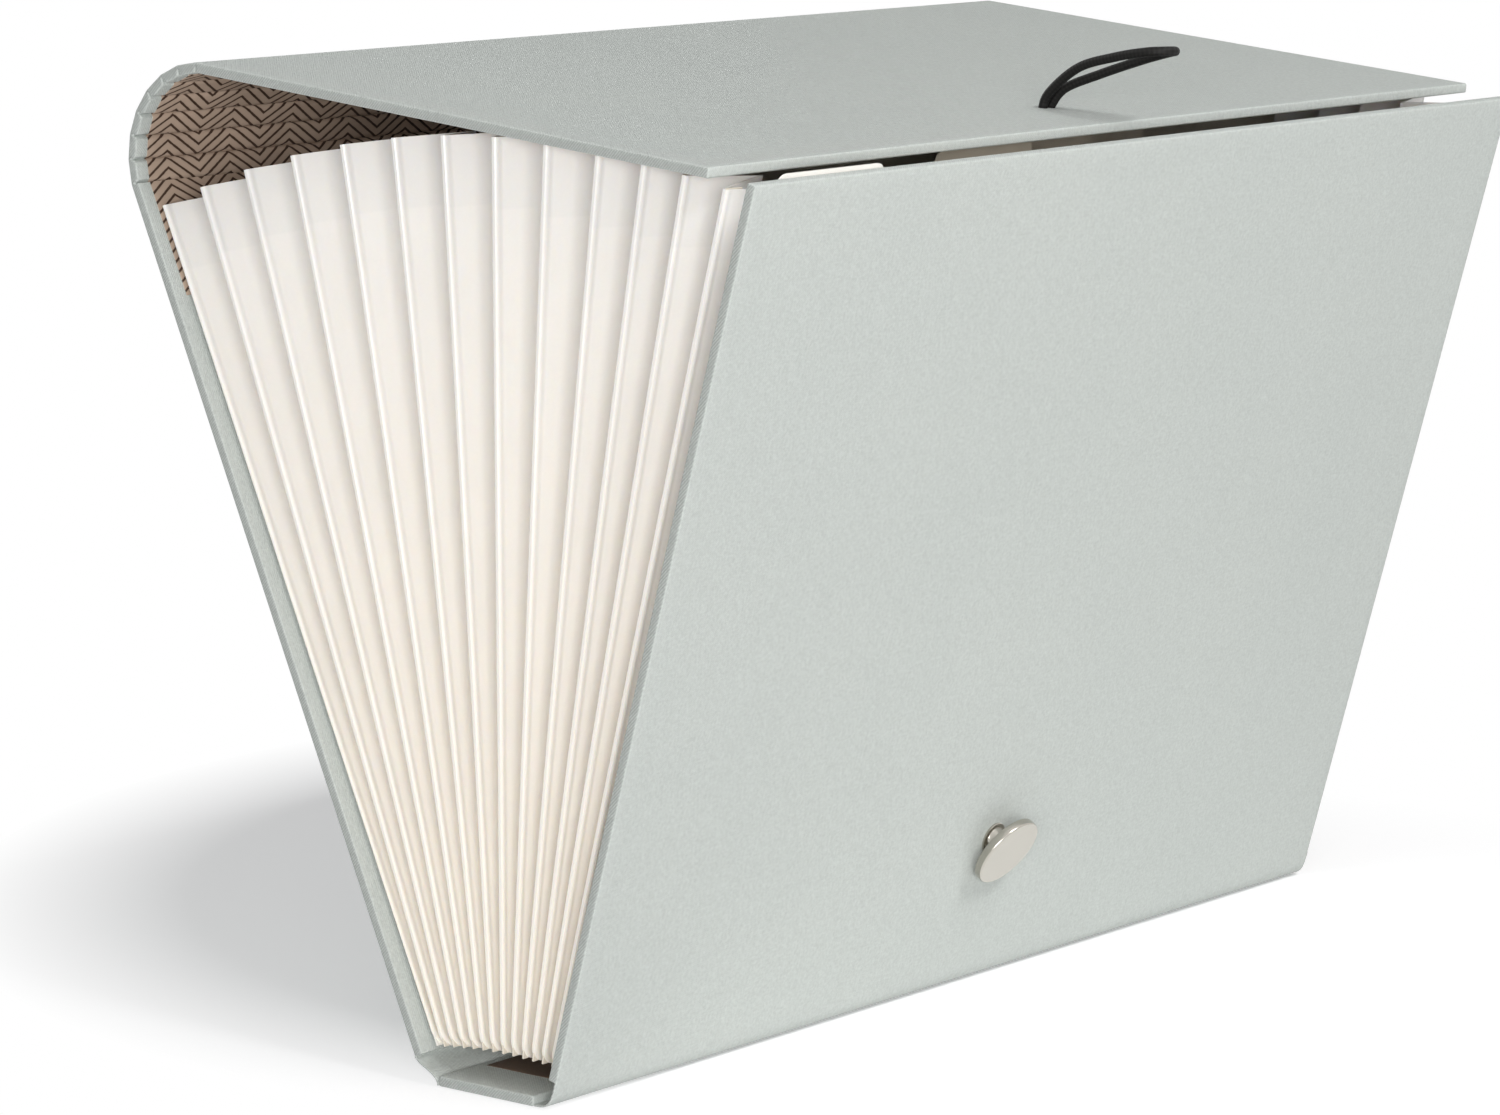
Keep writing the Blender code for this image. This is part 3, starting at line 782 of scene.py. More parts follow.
@dataclass(frozen=True)
class LiningPaper:
    """Brown lining paper printed with a plain herringbone of thin dark lines."""

    ground: Triple = (0.480, 0.365, 0.285)
    line: Triple = (0.050, 0.025, 0.015)
    pitch: float = 2.6 * MM
    line_share: float = 0.28
    line_blur: float = 0.03
    line_wobble: float = 0.02
    row: float = 11 * MM
    slope: float = 0.62

    def material(self) -> Material:
        """Lines repeat by v + |u zigzag|: the zigzag is a triangle wave of U, one row wide.

        Returns:
            The material.
        """
        n = Nodes(bpy.data.materials.new("herringbone_lining"))
        u, v = n.uv()
        slant = n.add(v, n.times(n.math("PINGPONG", u, self.row), self.slope))
        phase = n.math("FRACT", n.times(slant, 1 / self.pitch))
        off = n.math("ABSOLUTE", n.math("SUBTRACT", phase, 0.5))
        wobble = n.noise(n.place(), scale=900.0, detail=2.0)
        edge = n.add(off, n.spread(wobble, to_low=-self.line_wobble, to_high=self.line_wobble))
        half = self.line_share / 2
        ink = n.spread(edge, half - self.line_blur, half + self.line_blur, 1.0, 0.0)
        mottle = n.spread(n.noise(n.place(), scale=60.0, detail=4.0))
        ground = n.tinted(mottle, self.ground, darker=0.9, lighter=1.08)
        n.set(Base_Color=n.mix(ink, ground, tone(self.line)), Roughness=0.62, Specular_IOR_Level=0.4)
        n.bump(n.noise(n.place(), scale=1500.0, detail=3.0), distance=0.03 * MM, strength=0.25)
        return n.owner


@dataclass(frozen=True)
class SmoothPaper:
    """Plain paper or card: faint fibres and clouding."""

    name: str
    colour: Triple
    roughness: float
    sheen: Pair = (-0.04, 0.05)

    def material(self) -> Material:
        """Fibres and clouding give the tone, and the fibres the sheen and the bump.

        Returns:
            The material.
        """
        n = Nodes(bpy.data.materials.new(self.name))
        fibre, _, level = n.paper()
        low, high = (self.roughness + step for step in self.sheen)
        satin = n.spread(fibre, to_low=low, to_high=high)
        n.set(Base_Color=n.tinted(level, self.colour, darker=0.965, lighter=1.02), Roughness=satin)
        n.bump(fibre, distance=0.03 * MM, strength=0.25)
        return n.owner


@dataclass(frozen=True)
class PleatPaper:
    """Off-white pleat paper: satin, with a glossier strip along the top edges and painted light lower down."""

    # Painted light: the colour at the top edges and lower down, lighter and warmer below, for the shade deep in
    # the narrow folds and the warm light bounced between them; the height is how far down it changes.
    upper: Triple = (0.850, 0.832, 0.808)
    lower: Triple = (0.955, 0.902, 0.825)
    strip_tint: Triple = (0.980, 0.985, 0.990)
    strip: float = 17 * MM
    strip_blur: float = 0.3 * MM
    height: float = 200 * MM
    roughness: Pair = (0.45, 0.30)
    coat: Pair = (0.08, 0.35)
    cloud_height: float = 6.0
    depth: float = 0.10 * MM

    def material(self) -> Material:
        """U is the distance from the nearest top edge: the tone, with its painted light, and the gloss follow it.

        Returns:
            The material.
        """
        n = Nodes(bpy.data.materials.new("pleat_paper"))
        fibre, cloud, level = n.paper()
        u, _ = n.uv()
        strip = n.spread(u, self.strip - self.strip_blur, self.strip + self.strip_blur, 1.0, 0.0)
        # Painted light: lighter and warmer away from the top edges.
        base = n.mix(n.spread(u, 0.0, self.height), tone(self.upper), tone(self.lower))
        painted_light_and_fibres = n.product(base, n.tinted(level, (1.0, 1.0, 1.0), darker=0.965, lighter=1.0))
        n.set(Base_Color=n.mix(strip, painted_light_and_fibres, n.product(painted_light_and_fibres, tone(self.strip_tint))))
        n.set(Roughness=n.spread(strip, 0.0, 1.0, *self.roughness))
        n.set(Coat_Weight=n.spread(strip, 0.0, 1.0, *self.coat), Coat_Roughness=0.14)
        n.set(Subsurface_Weight=0.2, Subsurface_Radius=(1.0, 0.75, 0.45), Subsurface_Scale=self.depth)
        n.bump(n.add(n.times(cloud, self.cloud_height), fibre), distance=0.03 * MM, strength=0.3)
        return n.owner


@dataclass(frozen=True)
class GreyBoard:
    """Uncoated grey board with darker and lighter flecks."""

    colour: Triple = (0.36, 0.34, 0.31)
    fleck_range: Pair = (0.35, 0.65)
    fleck_share: float = 0.7

    def material(self) -> Material:
        """Flecks are fine noise over a broad clouding.

        Returns:
            The material.
        """
        n = Nodes(bpy.data.materials.new("fleck_grey_board"))
        fleck = n.noise(n.place(), scale=900.0, detail=4.0)
        cloud = n.noise(n.place(), scale=60.0, detail=3.0)
        flecks = n.spread(fleck, *self.fleck_range, 0.0, self.fleck_share)
        level = n.add(flecks, n.spread(cloud, to_high=1 - self.fleck_share))
        n.set(Base_Color=n.tinted(level, self.colour, darker=0.8, lighter=1.15), Roughness=0.9)
        n.bump(fleck, distance=0.05 * MM, strength=0.5)
        return n.owner


@dataclass(frozen=True)
class PolishedNickel:
    """Polished nickel plate with hairline wipe marks."""

    colour: Triple = (0.50, 0.472, 0.422)
    roughness: float = 0.15
    wipe_scale: Triple = (250.0, 250.0, 9000.0)
    smear: Pair = (-0.03, 0.07)

    def material(self) -> Material:
        """Wipe marks are noise drawn out along one way; smudges are broad noise in the roughness.

        Returns:
            The material.
        """
        n = Nodes(bpy.data.materials.new("wiped_nickel"))
        wipes = n.drawn_noise(self.wipe_scale, detail=2.0)
        smudge = n.noise(n.place(), scale=160.0, detail=3.0)
        low, high = (self.roughness + step for step in self.smear)
        smeared = n.spread(smudge, to_low=low, to_high=high)
        n.set(Base_Color=n.tinted(smudge, self.colour, darker=0.96, lighter=1.04), Metallic=1.0, Roughness=smeared)
        n.bump(wipes, distance=0.01 * MM, strength=0.12)
        return n.owner


@dataclass(frozen=True)
class BraidedElastic:
    """Braided black elastic: two sets of strands that cross round the cord."""

    colour: Triple = (0.0055, 0.0052, 0.0048)
    strands: int = 8
    lay: float = 2.2 * MM

    def material(self) -> Material:
        """Strands are sin(a + b) * sin(a - b), with a round the cord and b along it.

        Returns:
            The material.
        """
        n = Nodes(bpy.data.materials.new("braided_elastic"))
        run, turn = n.uv()
        a, b = n.times(turn, math.tau * self.strands / 2), n.times(run, math.tau / self.lay)
        braid = n.times(n.math("SINE", n.add(a, b)), n.math("SINE", n.math("SUBTRACT", a, b)))
        level = n.spread(braid, -1.0, 1.0)
        # Painted shade and highlight: the colour follows the braid's height, darker in the grooves between strands
        # and lighter on their crests.
        colour = n.tinted(level, self.colour, darker=0.5, lighter=2.0)
        n.set(Base_Color=colour, Roughness=0.6, Specular_IOR_Level=0.22)
        n.bump(level, distance=0.12 * MM, strength=0.7)
        return n.owner


@dataclass
class Finishes:
    """One material for each finish, made once."""

    cloth: Material = field(default_factory=BookCloth().material)
    lining: Material = field(default_factory=LiningPaper().material)
    # The spine's lining is the same brown lining paper, darker and plain here: painted shade inside the spine.
    spine_lining: Material = field(
        default_factory=SmoothPaper("plain_brown_lining_painted_shade", (0.150, 0.105, 0.078), 0.6).material
    )
    paper: Material = field(default_factory=PleatPaper().material)
    card: Material = field(default_factory=SmoothPaper("divider_card", (0.800, 0.735, 0.630), 0.6).material)
    end_sheet: Material = field(default_factory=SmoothPaper("end_sheet_card", (0.915, 0.890, 0.845), 0.5).material)
    board: Material = field(default_factory=GreyBoard().material)
    metal: Material = field(default_factory=PolishedNickel().material)
    elastic: Material = field(default_factory=BraidedElastic().material)


def dress(node: str, material: Material) -> None:
    """Give a node of the frame its material.

    Args:
        node: The node's name.
        material: The finish that it gets.
    """
    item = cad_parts[node]
    item.data.materials.clear()
    item.data.materials.append(material)


# Sub-assemblies


@dataclass
class Assembly:
    """What the sub-assemblies share: the folder's sizes, the finishes, and two ways to make a piece."""

    sizes: Sizes
    finishes: Finishes

    def board(self, word: str, body: str, slab: Slab) -> None:
        """Cloth round one board, with the board's room left hollow.

        Args:
            word: What the names of the piece and of its node start with.
            body: Body that it rides on.
            slab: The board with its cloth.
        """
        s = self.sizes
        work = slab.ring(s.edge_radius).carried(s.half)
        low, high = (np.array([side * s.half, slab.faces[n], slab.ends[n]]) for n, side in enumerate((-1, 1)))
        work.void(low + s.cloth, high - s.cloth, slab.plane)
        item = work.piece(f"{word}_skin", self.finishes.cloth, Slot.CLOTH)
        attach(item, body)
        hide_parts(f"{word}_cloth")

    def strip(self, name: str, ring: Ring, inset: float, material: Material) -> Object:
        """Lining paper on an outline, an inset short of the case's sides."""
        return ring.carried(self.sizes.half - inset).piece(name, material, Slot.LINING)


@dataclass
class Case(Assembly):
    """Spine and both covers: cloth drawn over grey boards, and the cloth hinges between them."""

    hinge_cloth: float = 0.5 * MM
    hinge_edge: float = 0.2 * MM
    hinge_foot: float = 0.15 * MM
    hinge_points: int = 25
    back_pull: Pair = (2.6 * MM, 2.9 * MM)
    front_pull: Pair = (6.0 * MM, 4.6 * MM)
    turn_in: float = 15 * MM
    spine_turn_in: float = 2.5 * MM
    spine_points: int = 12
    paper: float = 0.14 * MM

    def build(self) -> None:
        """Build every piece of the case but the roll-over and the flap."""
        s = self.sizes
        outer, inner, edge = s.outer_face, s.hinge_inset, s.spine_width / 2
        cover = (s.cover_start, s.cover_top)
        flat = Plane((0.0, 0.0), -QUARTER)
        self.board("front_cover", "front_cover", Slab(s.front, (-outer, -inner), cover, (False, True)))
        self.board("back_cover", "back_cover", Slab(s.back, (inner, outer), cover, (False, False)))
        self.board("spine", "spine", Slab(flat, (0.0, s.covered), (-edge, edge), (True, True)))
        self.spine_paper()
        self.hinge(-1)
        self.hinge(1)
        for node in ("front_board", "back_board", "spine_board"):
            dress(node, self.finishes.board)

    def spine_paper(self) -> None:
        """Lining strip on the inside of the spine, between the turned-in cloth, darker with painted shade."""
        s = self.sizes
        reach, count = s.spine_width / 2 - self.spine_turn_in, self.spine_points
        level = np.full(count, s.covered + self.paper / 2)
        ring = strip_ring(np.stack([np.linspace(reach, -reach, count), level], axis=1), self.paper)
        item = self.strip("spine_paper", ring, self.turn_in, self.finishes.spine_lining)
        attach(item, "spine")
        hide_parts("spine_lining")

    def hinge(self, side: int) -> None:
        """Cloth hinge of one cover, from the cover's outer face to the spine's foot.

        The outer line is a cubic curve that leaves along the cover. At the back it sinks in and
        arrives upright. At the front it runs on down to the floor and arrives level.

        Args:
            side: -1 for the front cover and 1 for the back one.
        """
        s = self.sizes
        word, plane, pull = ("back", s.back, self.back_pull) if side > 0 else ("front", s.front, self.front_pull)
        edge = plane.at(side * s.outer_face, s.cover_start)
        foot = np.array([side * (s.spine_width / 2 + self.hinge_cloth), self.hinge_foot])
        arrival = np.array([0.0, pull[1]] if side > 0 else [-pull[1], 0.0])
        outer = bezier((edge, edge - along(plane.angle) * pull[0], foot + arrival, foot), self.hinge_points)
        outer = outer[::-1] if side > 0 else outer
        inner = outer - right_of(tangents(outer)) * self.hinge_cloth
        work = band_ring(outer, inner, self.hinge_edge).carried(s.half)
        item = work.piece(f"{word}_hinge_skin", self.finishes.cloth, Slot.CLOTH)
        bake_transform(item)
        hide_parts(f"{word}_hinge_cloth")


@dataclass
class RollOver(Assembly):
    """Seven slats under one cloth, from the back cover's top edge to the flap, and their lining."""

    chain: list[Plane]
    joint_points: int = 9
    slat_points: int = 8
    groove: float = 1.4 * MM
    groove_width: float = 0.6 * MM
    lining_groove: float = 0.85 * MM
    lining_end: float = 4 * MM
    lining_start: float = 30 * MM
    paper: float = 0.16 * MM
    bodies: tuple[str, ...] = ("back_cover", "rollover_back", "rollover_middle", "rollover_front", "flap")
    live: tuple[int, ...] = (1, 3, 5, 8)

    def joint(self, number: int) -> tuple[Array, Array, Array]:
        """Where one hinge's joint lies in the outer face.

        Args:
            number: The hinge's number, from 1 at the back cover.

        Returns:
            The joint's start, hinge line and end, as points (y, z).
        """
        plane = self.chain[number - 1]
        before = self.sizes.back_lean if number == 1 else self.chain[number - 2].angle
        hinge, reach = np.array(plane.origin), self.sizes.slat_joint / 2
        return hinge - along(before) * reach, hinge, hinge + along(plane.angle) * reach

    def outer_line(self) -> tuple[Array, Array]:
        """Outer face from the back cover's top edge to the flap's first edge.

        Each slat is straight, and each hinge a quadratic curve over the joint, whose control point
        is the hinge line.

        Returns:
            The points, and for each its slat count: hinge number at a hinge, plus a half between.
        """
        points, label = [], []
        share = np.linspace(0, 1, self.slat_points + 2)[1:-1, None]
        for number in range(1, len(self.chain) + 1):
            joint = self.joint(number)
            points.append(bezier(joint, self.joint_points))
            label.append(np.full(self.joint_points, float(number)))
            if number <= self.sizes.slats:
                points.append(joint[2] + (self.joint(number + 1)[0] - joint[2]) * share)
                label.append(np.full(self.slat_points, number + 0.5))
        return np.concatenate(points), np.concatenate(label)

    def depth(self, run: Array, groove: float) -> Array:
        """Thickness along the outer line, less a bell-shaped groove, exp(-(x / width)^2), at each hinge.

        Args:
            run: Lengths along the outer line.
            groove: Depth of each groove.

        Returns:
            The thickness at each length.
        """
        s = self.sizes
        hinges = s.slat_joint / 2 + s.slat_pitch * np.arange(s.slats + 1)
        bell = np.exp(-(((run[:, None] - hinges) / self.groove_width) ** 2)).sum(axis=1)
        return s.covered - groove * bell

    def build(self) -> None:
        """Build the cloth bands and the lining over each group of slats."""
        s = self.sizes
        outer, label = self.outer_line()
        run, normal = arc_length(outer), right_of(tangents(outer))
        cuts = [0, *(int(np.flatnonzero(label == k - 0.5).mean().round()) for k in self.live[1:]), len(outer) - 1]
        inner = outer - normal * self.depth(run, self.groove)[:, None]
        paper_line = outer - normal * (self.depth(run, self.lining_groove) + self.paper / 2)[:, None]
        paper_run = arc_length(paper_line)
        for n, hinge in enumerate(self.live):
            part = slice(cuts[n], cuts[n + 1] + 1)
            work = band_ring(outer[part], inner[part], s.edge_radius, run[part.start]).carried(s.half)
            item = work.piece(f"rollover_skin_{n + 1}", self.finishes.cloth, Slot.CLOTH)
            self.bend(item, n, hinge)
            last = self.live[n + 1] if n + 1 < len(self.live) else hinge + 1
            slats = [f"slat_{k}" for k in range(hinge, min(last, s.slats + 1))]
            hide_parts(*(f"slat_hinge_cloth_{k}" for k in range(hinge, last)), *slats)
            ring = strip_ring(paper_line[part], self.paper, paper_run[part.start])
            self.bend(self.strip(f"rollover_paper_{n + 1}", ring, self.lining_end, self.finishes.lining), n, hinge)
        self.back_paper()

    def bend(self, item: Object, n: int, hinge: int) -> None:
        """Bake a piece's placement into its mesh."""
        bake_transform(item)

    def back_paper(self) -> None:
        """Lining strip at the top of the back cover's inner face."""
        s = self.sizes
        rise = spaced(s.cover_top - self.lining_start, s.cover_top)
        path = s.back.at(np.full(len(rise), s.hinge_inset - self.paper / 2), rise)
        ring = strip_ring(path, self.paper, -self.lining_start)
        item = self.strip("back_cover_paper", ring, self.lining_end, self.finishes.lining)
        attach(item, "back_cover")
        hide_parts("back_lining")


@dataclass
class Flap(Assembly):
    """Flap board in its cloth, with lining underneath."""

    plane: Plane
    border: float = 4 * MM
    paper: float = 0.16 * MM

    def build(self) -> None:
        """Build the cloth with the board's room in it, and the lining."""
        s = self.sizes
        start = s.slat_joint / 2
        self.board("flap", "flap", Slab(self.plane, (-s.covered, 0.0), (start, s.flap_length), (False, True)))
        rise = spaced(start, s.flap_length - self.border)
        path = self.plane.at(np.full(len(rise), -s.covered - self.paper / 2), rise)
        item = self.strip("flap_paper", strip_ring(path, self.paper), self.border, self.finishes.lining)
        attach(item, "flap")
        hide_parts("flap_lining")
        dress("flap_board", self.finishes.board)
        dress("elastic_anchor", self.finishes.metal)


@dataclass
class Bellows(Assembly):
    """End sheets, twelve dividers, and the folded paper of thirteen pockets."""

    leaves: list[Leaf]
    face: float = 22 * MM
    floor: float = 9 * MM
    corner: float = 4 * MM
    inner_corner: float = 1.2 * MM
    thickness: float = 0.22 * MM
    ridge: float = 0.38 * MM
    ridge_proud: float = 0.3 * MM
    ridge_shares: Triple = (1.0, 0.5, 0.12)
    bow_share: float = 0.03
    lap_share: float = 0.055
    lap_edge: float = 0.008
    lap: float = 0.1 * MM
    lap_start: float = 0.01
    flank_shares: Pair = (0.1, 0.98)
    flank_points: int = 11
    side_points: int = 57
    corner_points: int = 9
    level_points: int = 41

    def build(self) -> None:
        """Dress the leaves and build each pocket's fold."""
        dress("bellows_front_sheet", self.finishes.end_sheet)
        dress("bellows_back_sheet", self.finishes.end_sheet)
        for index in range(1, len(self.leaves) - 1):
            dress(f"divider_{index}", self.finishes.card)
        for index in range(1, len(self.leaves)):
            self.fold(index)

    def leaf_body(self, index: int) -> str:
        """Body that carries a leaf.

        Args:
            index: The leaf's number, from 0 at the front sheet.

        Returns:
            The body's name.
        """
        if index == 0:
            return "front_cover"
        return "back_cover" if index == len(self.leaves) - 1 else f"divider_{index}"

    def way_down(self, leaf: Leaf, inset: float, lift: float, corner: float) -> Array:
        """Line down one side of a leaf, round the lower corner, and across to the other side's top.

        The corner is a quarter circle, and the other half is the mirror image.

        Args:
            leaf: The leaf.
            inset: How far the line lies in from the bellows' side.
            lift: How far it lies above the leaf's bottom.
            corner: Radius of the lower corner.

        Returns:
            Points (x, height along the leaf).
        """
        side_x = inset + self.sizes.bellows_inset - self.sizes.half
        base = leaf.bottom + lift
        turn = np.linspace(0, QUARTER, self.corner_points)
        down = np.linspace(leaf.top, base + corner, self.side_points)[:-1]
        level = np.linspace(side_x + corner, 0, self.level_points)[1:]
        bend = (side_x + corner * (1 - np.cos(turn)), base + corner * (1 - np.sin(turn)))
        parts = ((np.full(len(down), side_x), down), bend, (level, np.full(len(level), base)))
        left = np.concatenate([np.stack(part, axis=1) for part in parts])
        return np.concatenate([left, (left * (-1, 1))[:-1][::-1]])

    def on_leaf(self, leaf: Leaf, line: Array, offset: float) -> Array:
        """Points (x, y, z) of a line (x, height) on a leaf, at an offset square to it."""
        return np.column_stack([line[:, 0], leaf.plane.at(np.full(len(line), offset), line[:, 1])])

    def fold(self, index: int) -> None:
        """One pocket's paper: from the ridge of one leaf in to the crease and out to the next.

        Across the fold, a point goes cap, ridge corner, flank, crease, flank, ridge corner, cap.
        Each flank bows by a share of the gap times 4t(1-t), and is thicker where it laps the ridge.

        Args:
            index: The pocket's number, from 1 at the front.
        """
        near, far = self.leaves[index - 1], self.leaves[index]
        start, end = near.plane.at(0.0, near.top), far.plane.at(0.0, far.top)
        depth = math.sqrt(self.face**2 - ((end - start) @ (end - start)) / 4)
        back = -self.sizes.back_sheet_offset if index == len(self.leaves) - 1 else 0.0
        caps, ridges, valleys = [], [], []
        for leaf, sign, extra in ((near, 1, 0.0), (far, -1, back)):
            proud = self.way_down(leaf, -self.ridge_proud, -self.ridge_proud, self.corner + self.ridge_proud)
            deep = self.way_down(leaf, depth, self.floor, self.inner_corner)
            caps.append(self.on_leaf(leaf, proud, extra))
            ridges.append(self.on_leaf(leaf, proud, sign * self.ridge + extra))
            valleys.append(self.on_leaf(leaf, deep, sign * self.ridge + extra))
        crease = (valleys[0] + valleys[1]) / 2
        lap_steps = [0.0, self.lap_start, self.lap_share - self.lap_edge, self.lap_share]
        share = np.concatenate([lap_steps, np.linspace(*self.flank_shares, self.flank_points)])[None, :, None]
        lapped = self.lap * ((share > 0.0) & (share < self.lap_share))
        middle = []
        for n, (cap, ridge) in enumerate(zip(caps, ridges)):
            gap = np.linalg.norm(ridges[1 - n] - ridge, axis=1, keepdims=True)
            inward = ((ridges[1 - n] - ridge) / (gap + TINY))[:, None]
            flank = ridge[:, None] * (1 - share) + crease[:, None] * share
            flank = flank + inward * (self.bow_share * gap[:, None] * 4 * share * (1 - share) + lapped)
            corner = ridge[:, None] + (cap - ridge)[:, None] * np.array(self.ridge_shares)[None, :, None]
            part = np.concatenate([corner, flank], axis=1)
            middle.append(part if n == 0 else part[:, ::-1])
        grid = np.concatenate([middle[0], crease[:, None], middle[1]], axis=1)
        run = arc_length(grid.mean(axis=1))
        work = thick_sheet(grid, self.thickness, np.minimum(run, run[-1] - run), arc_length(grid[0]))
        item = work.piece(f"pocket_paper_{index}", self.finishes.paper, Slot.PAPER)
        bodies = [self.leaf_body(index - 1), self.leaf_body(index)]
        if bodies == ["divider_5", "divider_6"]:  # the two halves of the bellows meet on a body of their own
            bodies[1] = "middle_fold"
        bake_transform(item)
        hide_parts(f"pocket_fold_{index}")


@dataclass
class Stud(Assembly):
    """Flat-headed closure stud: a turned profile on the front cover, whose stem and head droop."""

    place: Pair = (-1.2 * MM, 39.2 * MM)
    lean: float = math.radians(18)
    head: float = 10.2 * MM
    head_thickness: float = 2.4 * MM
    head_crown: float = 0.02 * MM
    bevel: float = 0.45 * MM
    neck: float = 3.2 * MM
    neck_fillet: float = 0.2 * MM
    flange: float = 4.5 * MM
    flange_thickness: float = 0.6 * MM
    flange_bevel: float = 0.15 * MM
    stem_start: float = 0.1 * MM
    reach: float = 6.3 * MM
    head_shares: tuple[float, ...] = (0.0, 0.3, 0.6, 0.9)
    bevel_points: int = 7
    around: int = 96

    def profile(self) -> Array:
        """Half outline of the turned stud: a crowned head with a rounded rim, a neck and a base flange.

        Returns:
            Points (radius, distance off the cover's face), from the head's middle to the seat.
        """
        turn = np.linspace(0, QUARTER, self.bevel_points)
        top, under = self.reach, self.reach - self.head_thickness
        flat = np.array([[r * self.head, top - self.head_crown * r**2] for r in self.head_shares])
        rim = self.head - self.bevel
        upper = np.stack([rim + self.bevel * np.sin(turn), top - self.bevel * (1 - np.cos(turn))], axis=1)
        lower = np.stack([rim + self.bevel * np.cos(turn), under + self.bevel * (1 - np.sin(turn))], axis=1)
        base, edge = self.flange_thickness, self.flange
        foot = np.array([
            [self.neck, under], [self.neck, base + self.neck_fillet], [self.neck + self.neck_fillet, base],
            [edge - self.flange_bevel, base], [edge, base - self.flange_bevel], [edge, 0.0], [0.0, 0.0],
        ])
        return np.concatenate([flat, upper, lower, foot])

    def build(self) -> None:
        """Turn the profile, lean what stands on the flange about its middle, and set it on the cover."""
        s = self.sizes
        profile = self.profile()
        radius, height = profile[:, 0, None], profile[:, 1, None]
        angle = np.arange(self.around) * math.tau / self.around
        x, rise = self.place[0] + radius * np.cos(angle), radius * np.sin(angle)
        out = height - self.flange_thickness + 0 * angle
        lean = np.where(height > self.flange_thickness + self.stem_start, self.lean, 0.0)
        leant_rise = rise * np.cos(lean) - out * np.sin(lean)
        leant_out = out * np.cos(lean) + rise * np.sin(lean) + self.flange_thickness
        side = s.front.at(-s.outer_face - leant_out, self.place[1] + leant_rise)
        points = np.concatenate([x[..., None], side], axis=2)
        work = Patchwork()
        work.grid(points[::-1], arc_length(profile), np.append(angle, math.tau) * self.head, ring=True)
        item = work.piece("stud_turning", self.finishes.metal, Slot.METAL)
        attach(item, "front_cover")
        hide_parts("closure_stud")
        dress("stud_cap", self.finishes.metal)


@dataclass
class ElasticLoop(Assembly):
    """Free loop of braided elastic that comes out of a slit in the flap and goes back in."""

    flap: Plane
    diameter: float = 2.4 * MM
    slit_from_edge: float = 23.8 * MM
    around: int = 20
    per_span: int = 12
    # Across the flap, along it from the slit, and up off it, in millimetres.
    route: tuple[Triple, ...] = (
        (-2.1, 0.0, -1.1), (-2.3, 1.9, 4.1), (-3.0, 10.6, 11.8), (-4.1, 22.0, 16.2), (-4.5, 31.2, 18.8),
        (-2.6, 35.6, 19.6), (1.2, 36.3, 19.5), (4.2, 32.4, 18.4), (4.3, 24.4, 15.3), (2.6, 13.4, 10.2),
        (0.8, 4.2, 5.2), (0.3, 0.0, -1.1),
    )

    def centre_line(self) -> Array:
        """Catmull-Rom curve through the route, on the flap: (2b + (c-a)t + ...t^2 + ...t^3) / 2.

        Returns:
            Points (x, y, z) from the slit and back to it.
        """
        knots = np.array(self.route) * MM
        knots = np.concatenate([[2 * knots[0] - knots[1]], knots, [2 * knots[-1] - knots[-2]]])
        a, b, c, d = (knots[n : len(knots) - 3 + n, None] for n in range(4))
        t = (np.arange(self.per_span) / self.per_span)[None, :, None]
        curve = (2 * b + (c - a) * t + (2 * a - 5 * b + 4 * c - d) * t**2 + (3 * b - a - 3 * c + d) * t**3) / 2
        local = np.concatenate([curve.reshape(-1, 3), knots[-2:-1]])
        slit = self.sizes.flap_length - self.slit_from_edge
        return np.column_stack([local[:, 0], self.flap.at(local[:, 2], slit + local[:, 1])])

    def build(self) -> None:
        """Carry a circle along the centre line, in a frame that doesn't twist round it."""
        line = self.centre_line()
        way = tangents(line)
        up = np.zeros_like(way)
        up[0] = np.cross(way[0], (1.0, 0.0, 0.0))
        for n in range(len(way)):
            up[n] = up[max(n - 1, 0)] - way[n] * (up[max(n - 1, 0)] @ way[n])
            up[n] /= np.linalg.norm(up[n])
        angle = np.arange(self.around) * math.tau / self.around
        flat = np.stack([np.cos(angle), np.sin(angle)], axis=1) * self.diameter / 2
        sides = np.stack([up, np.cross(way, up)], axis=1)
        work = Patchwork()
        turns = np.append(angle, math.tau) / math.tau
        index = work.grid(line[:, None] + flat @ sides, arc_length(line), turns, ring=True)
        work.caps(index, flat)
        item = work.piece("elastic_cord", self.finishes.elastic, Slot.ELASTIC)
        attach(item, "flap")
        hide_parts("elastic_loop")


@dataclass(frozen=True)
class Lamp:
    """Soft lamp, with a width and a height, that faces the middle of the object."""

    name: str
    place: Triple
    size: Pair
    energy: float
    colour: Triple
    target: Triple = (0.0, 0.0, 0.1)

    def build(self) -> None:
        """Add the lamp and turn it to its target."""
        data = bpy.data.lights.new(self.name, "AREA")
        data.shape = "RECTANGLE"
        data.size, data.size_y = self.size
        data.energy = self.energy
        data.color = self.colour
        item = add_object(self.name, data)
        item.location = self.place
        way = np.array(self.target) - np.array(self.place)
        tilt = math.acos(-way[2] / np.linalg.norm(way))
        item.rotation_euler = (tilt, 0.0, math.atan2(way[1], way[0]) - QUARTER)


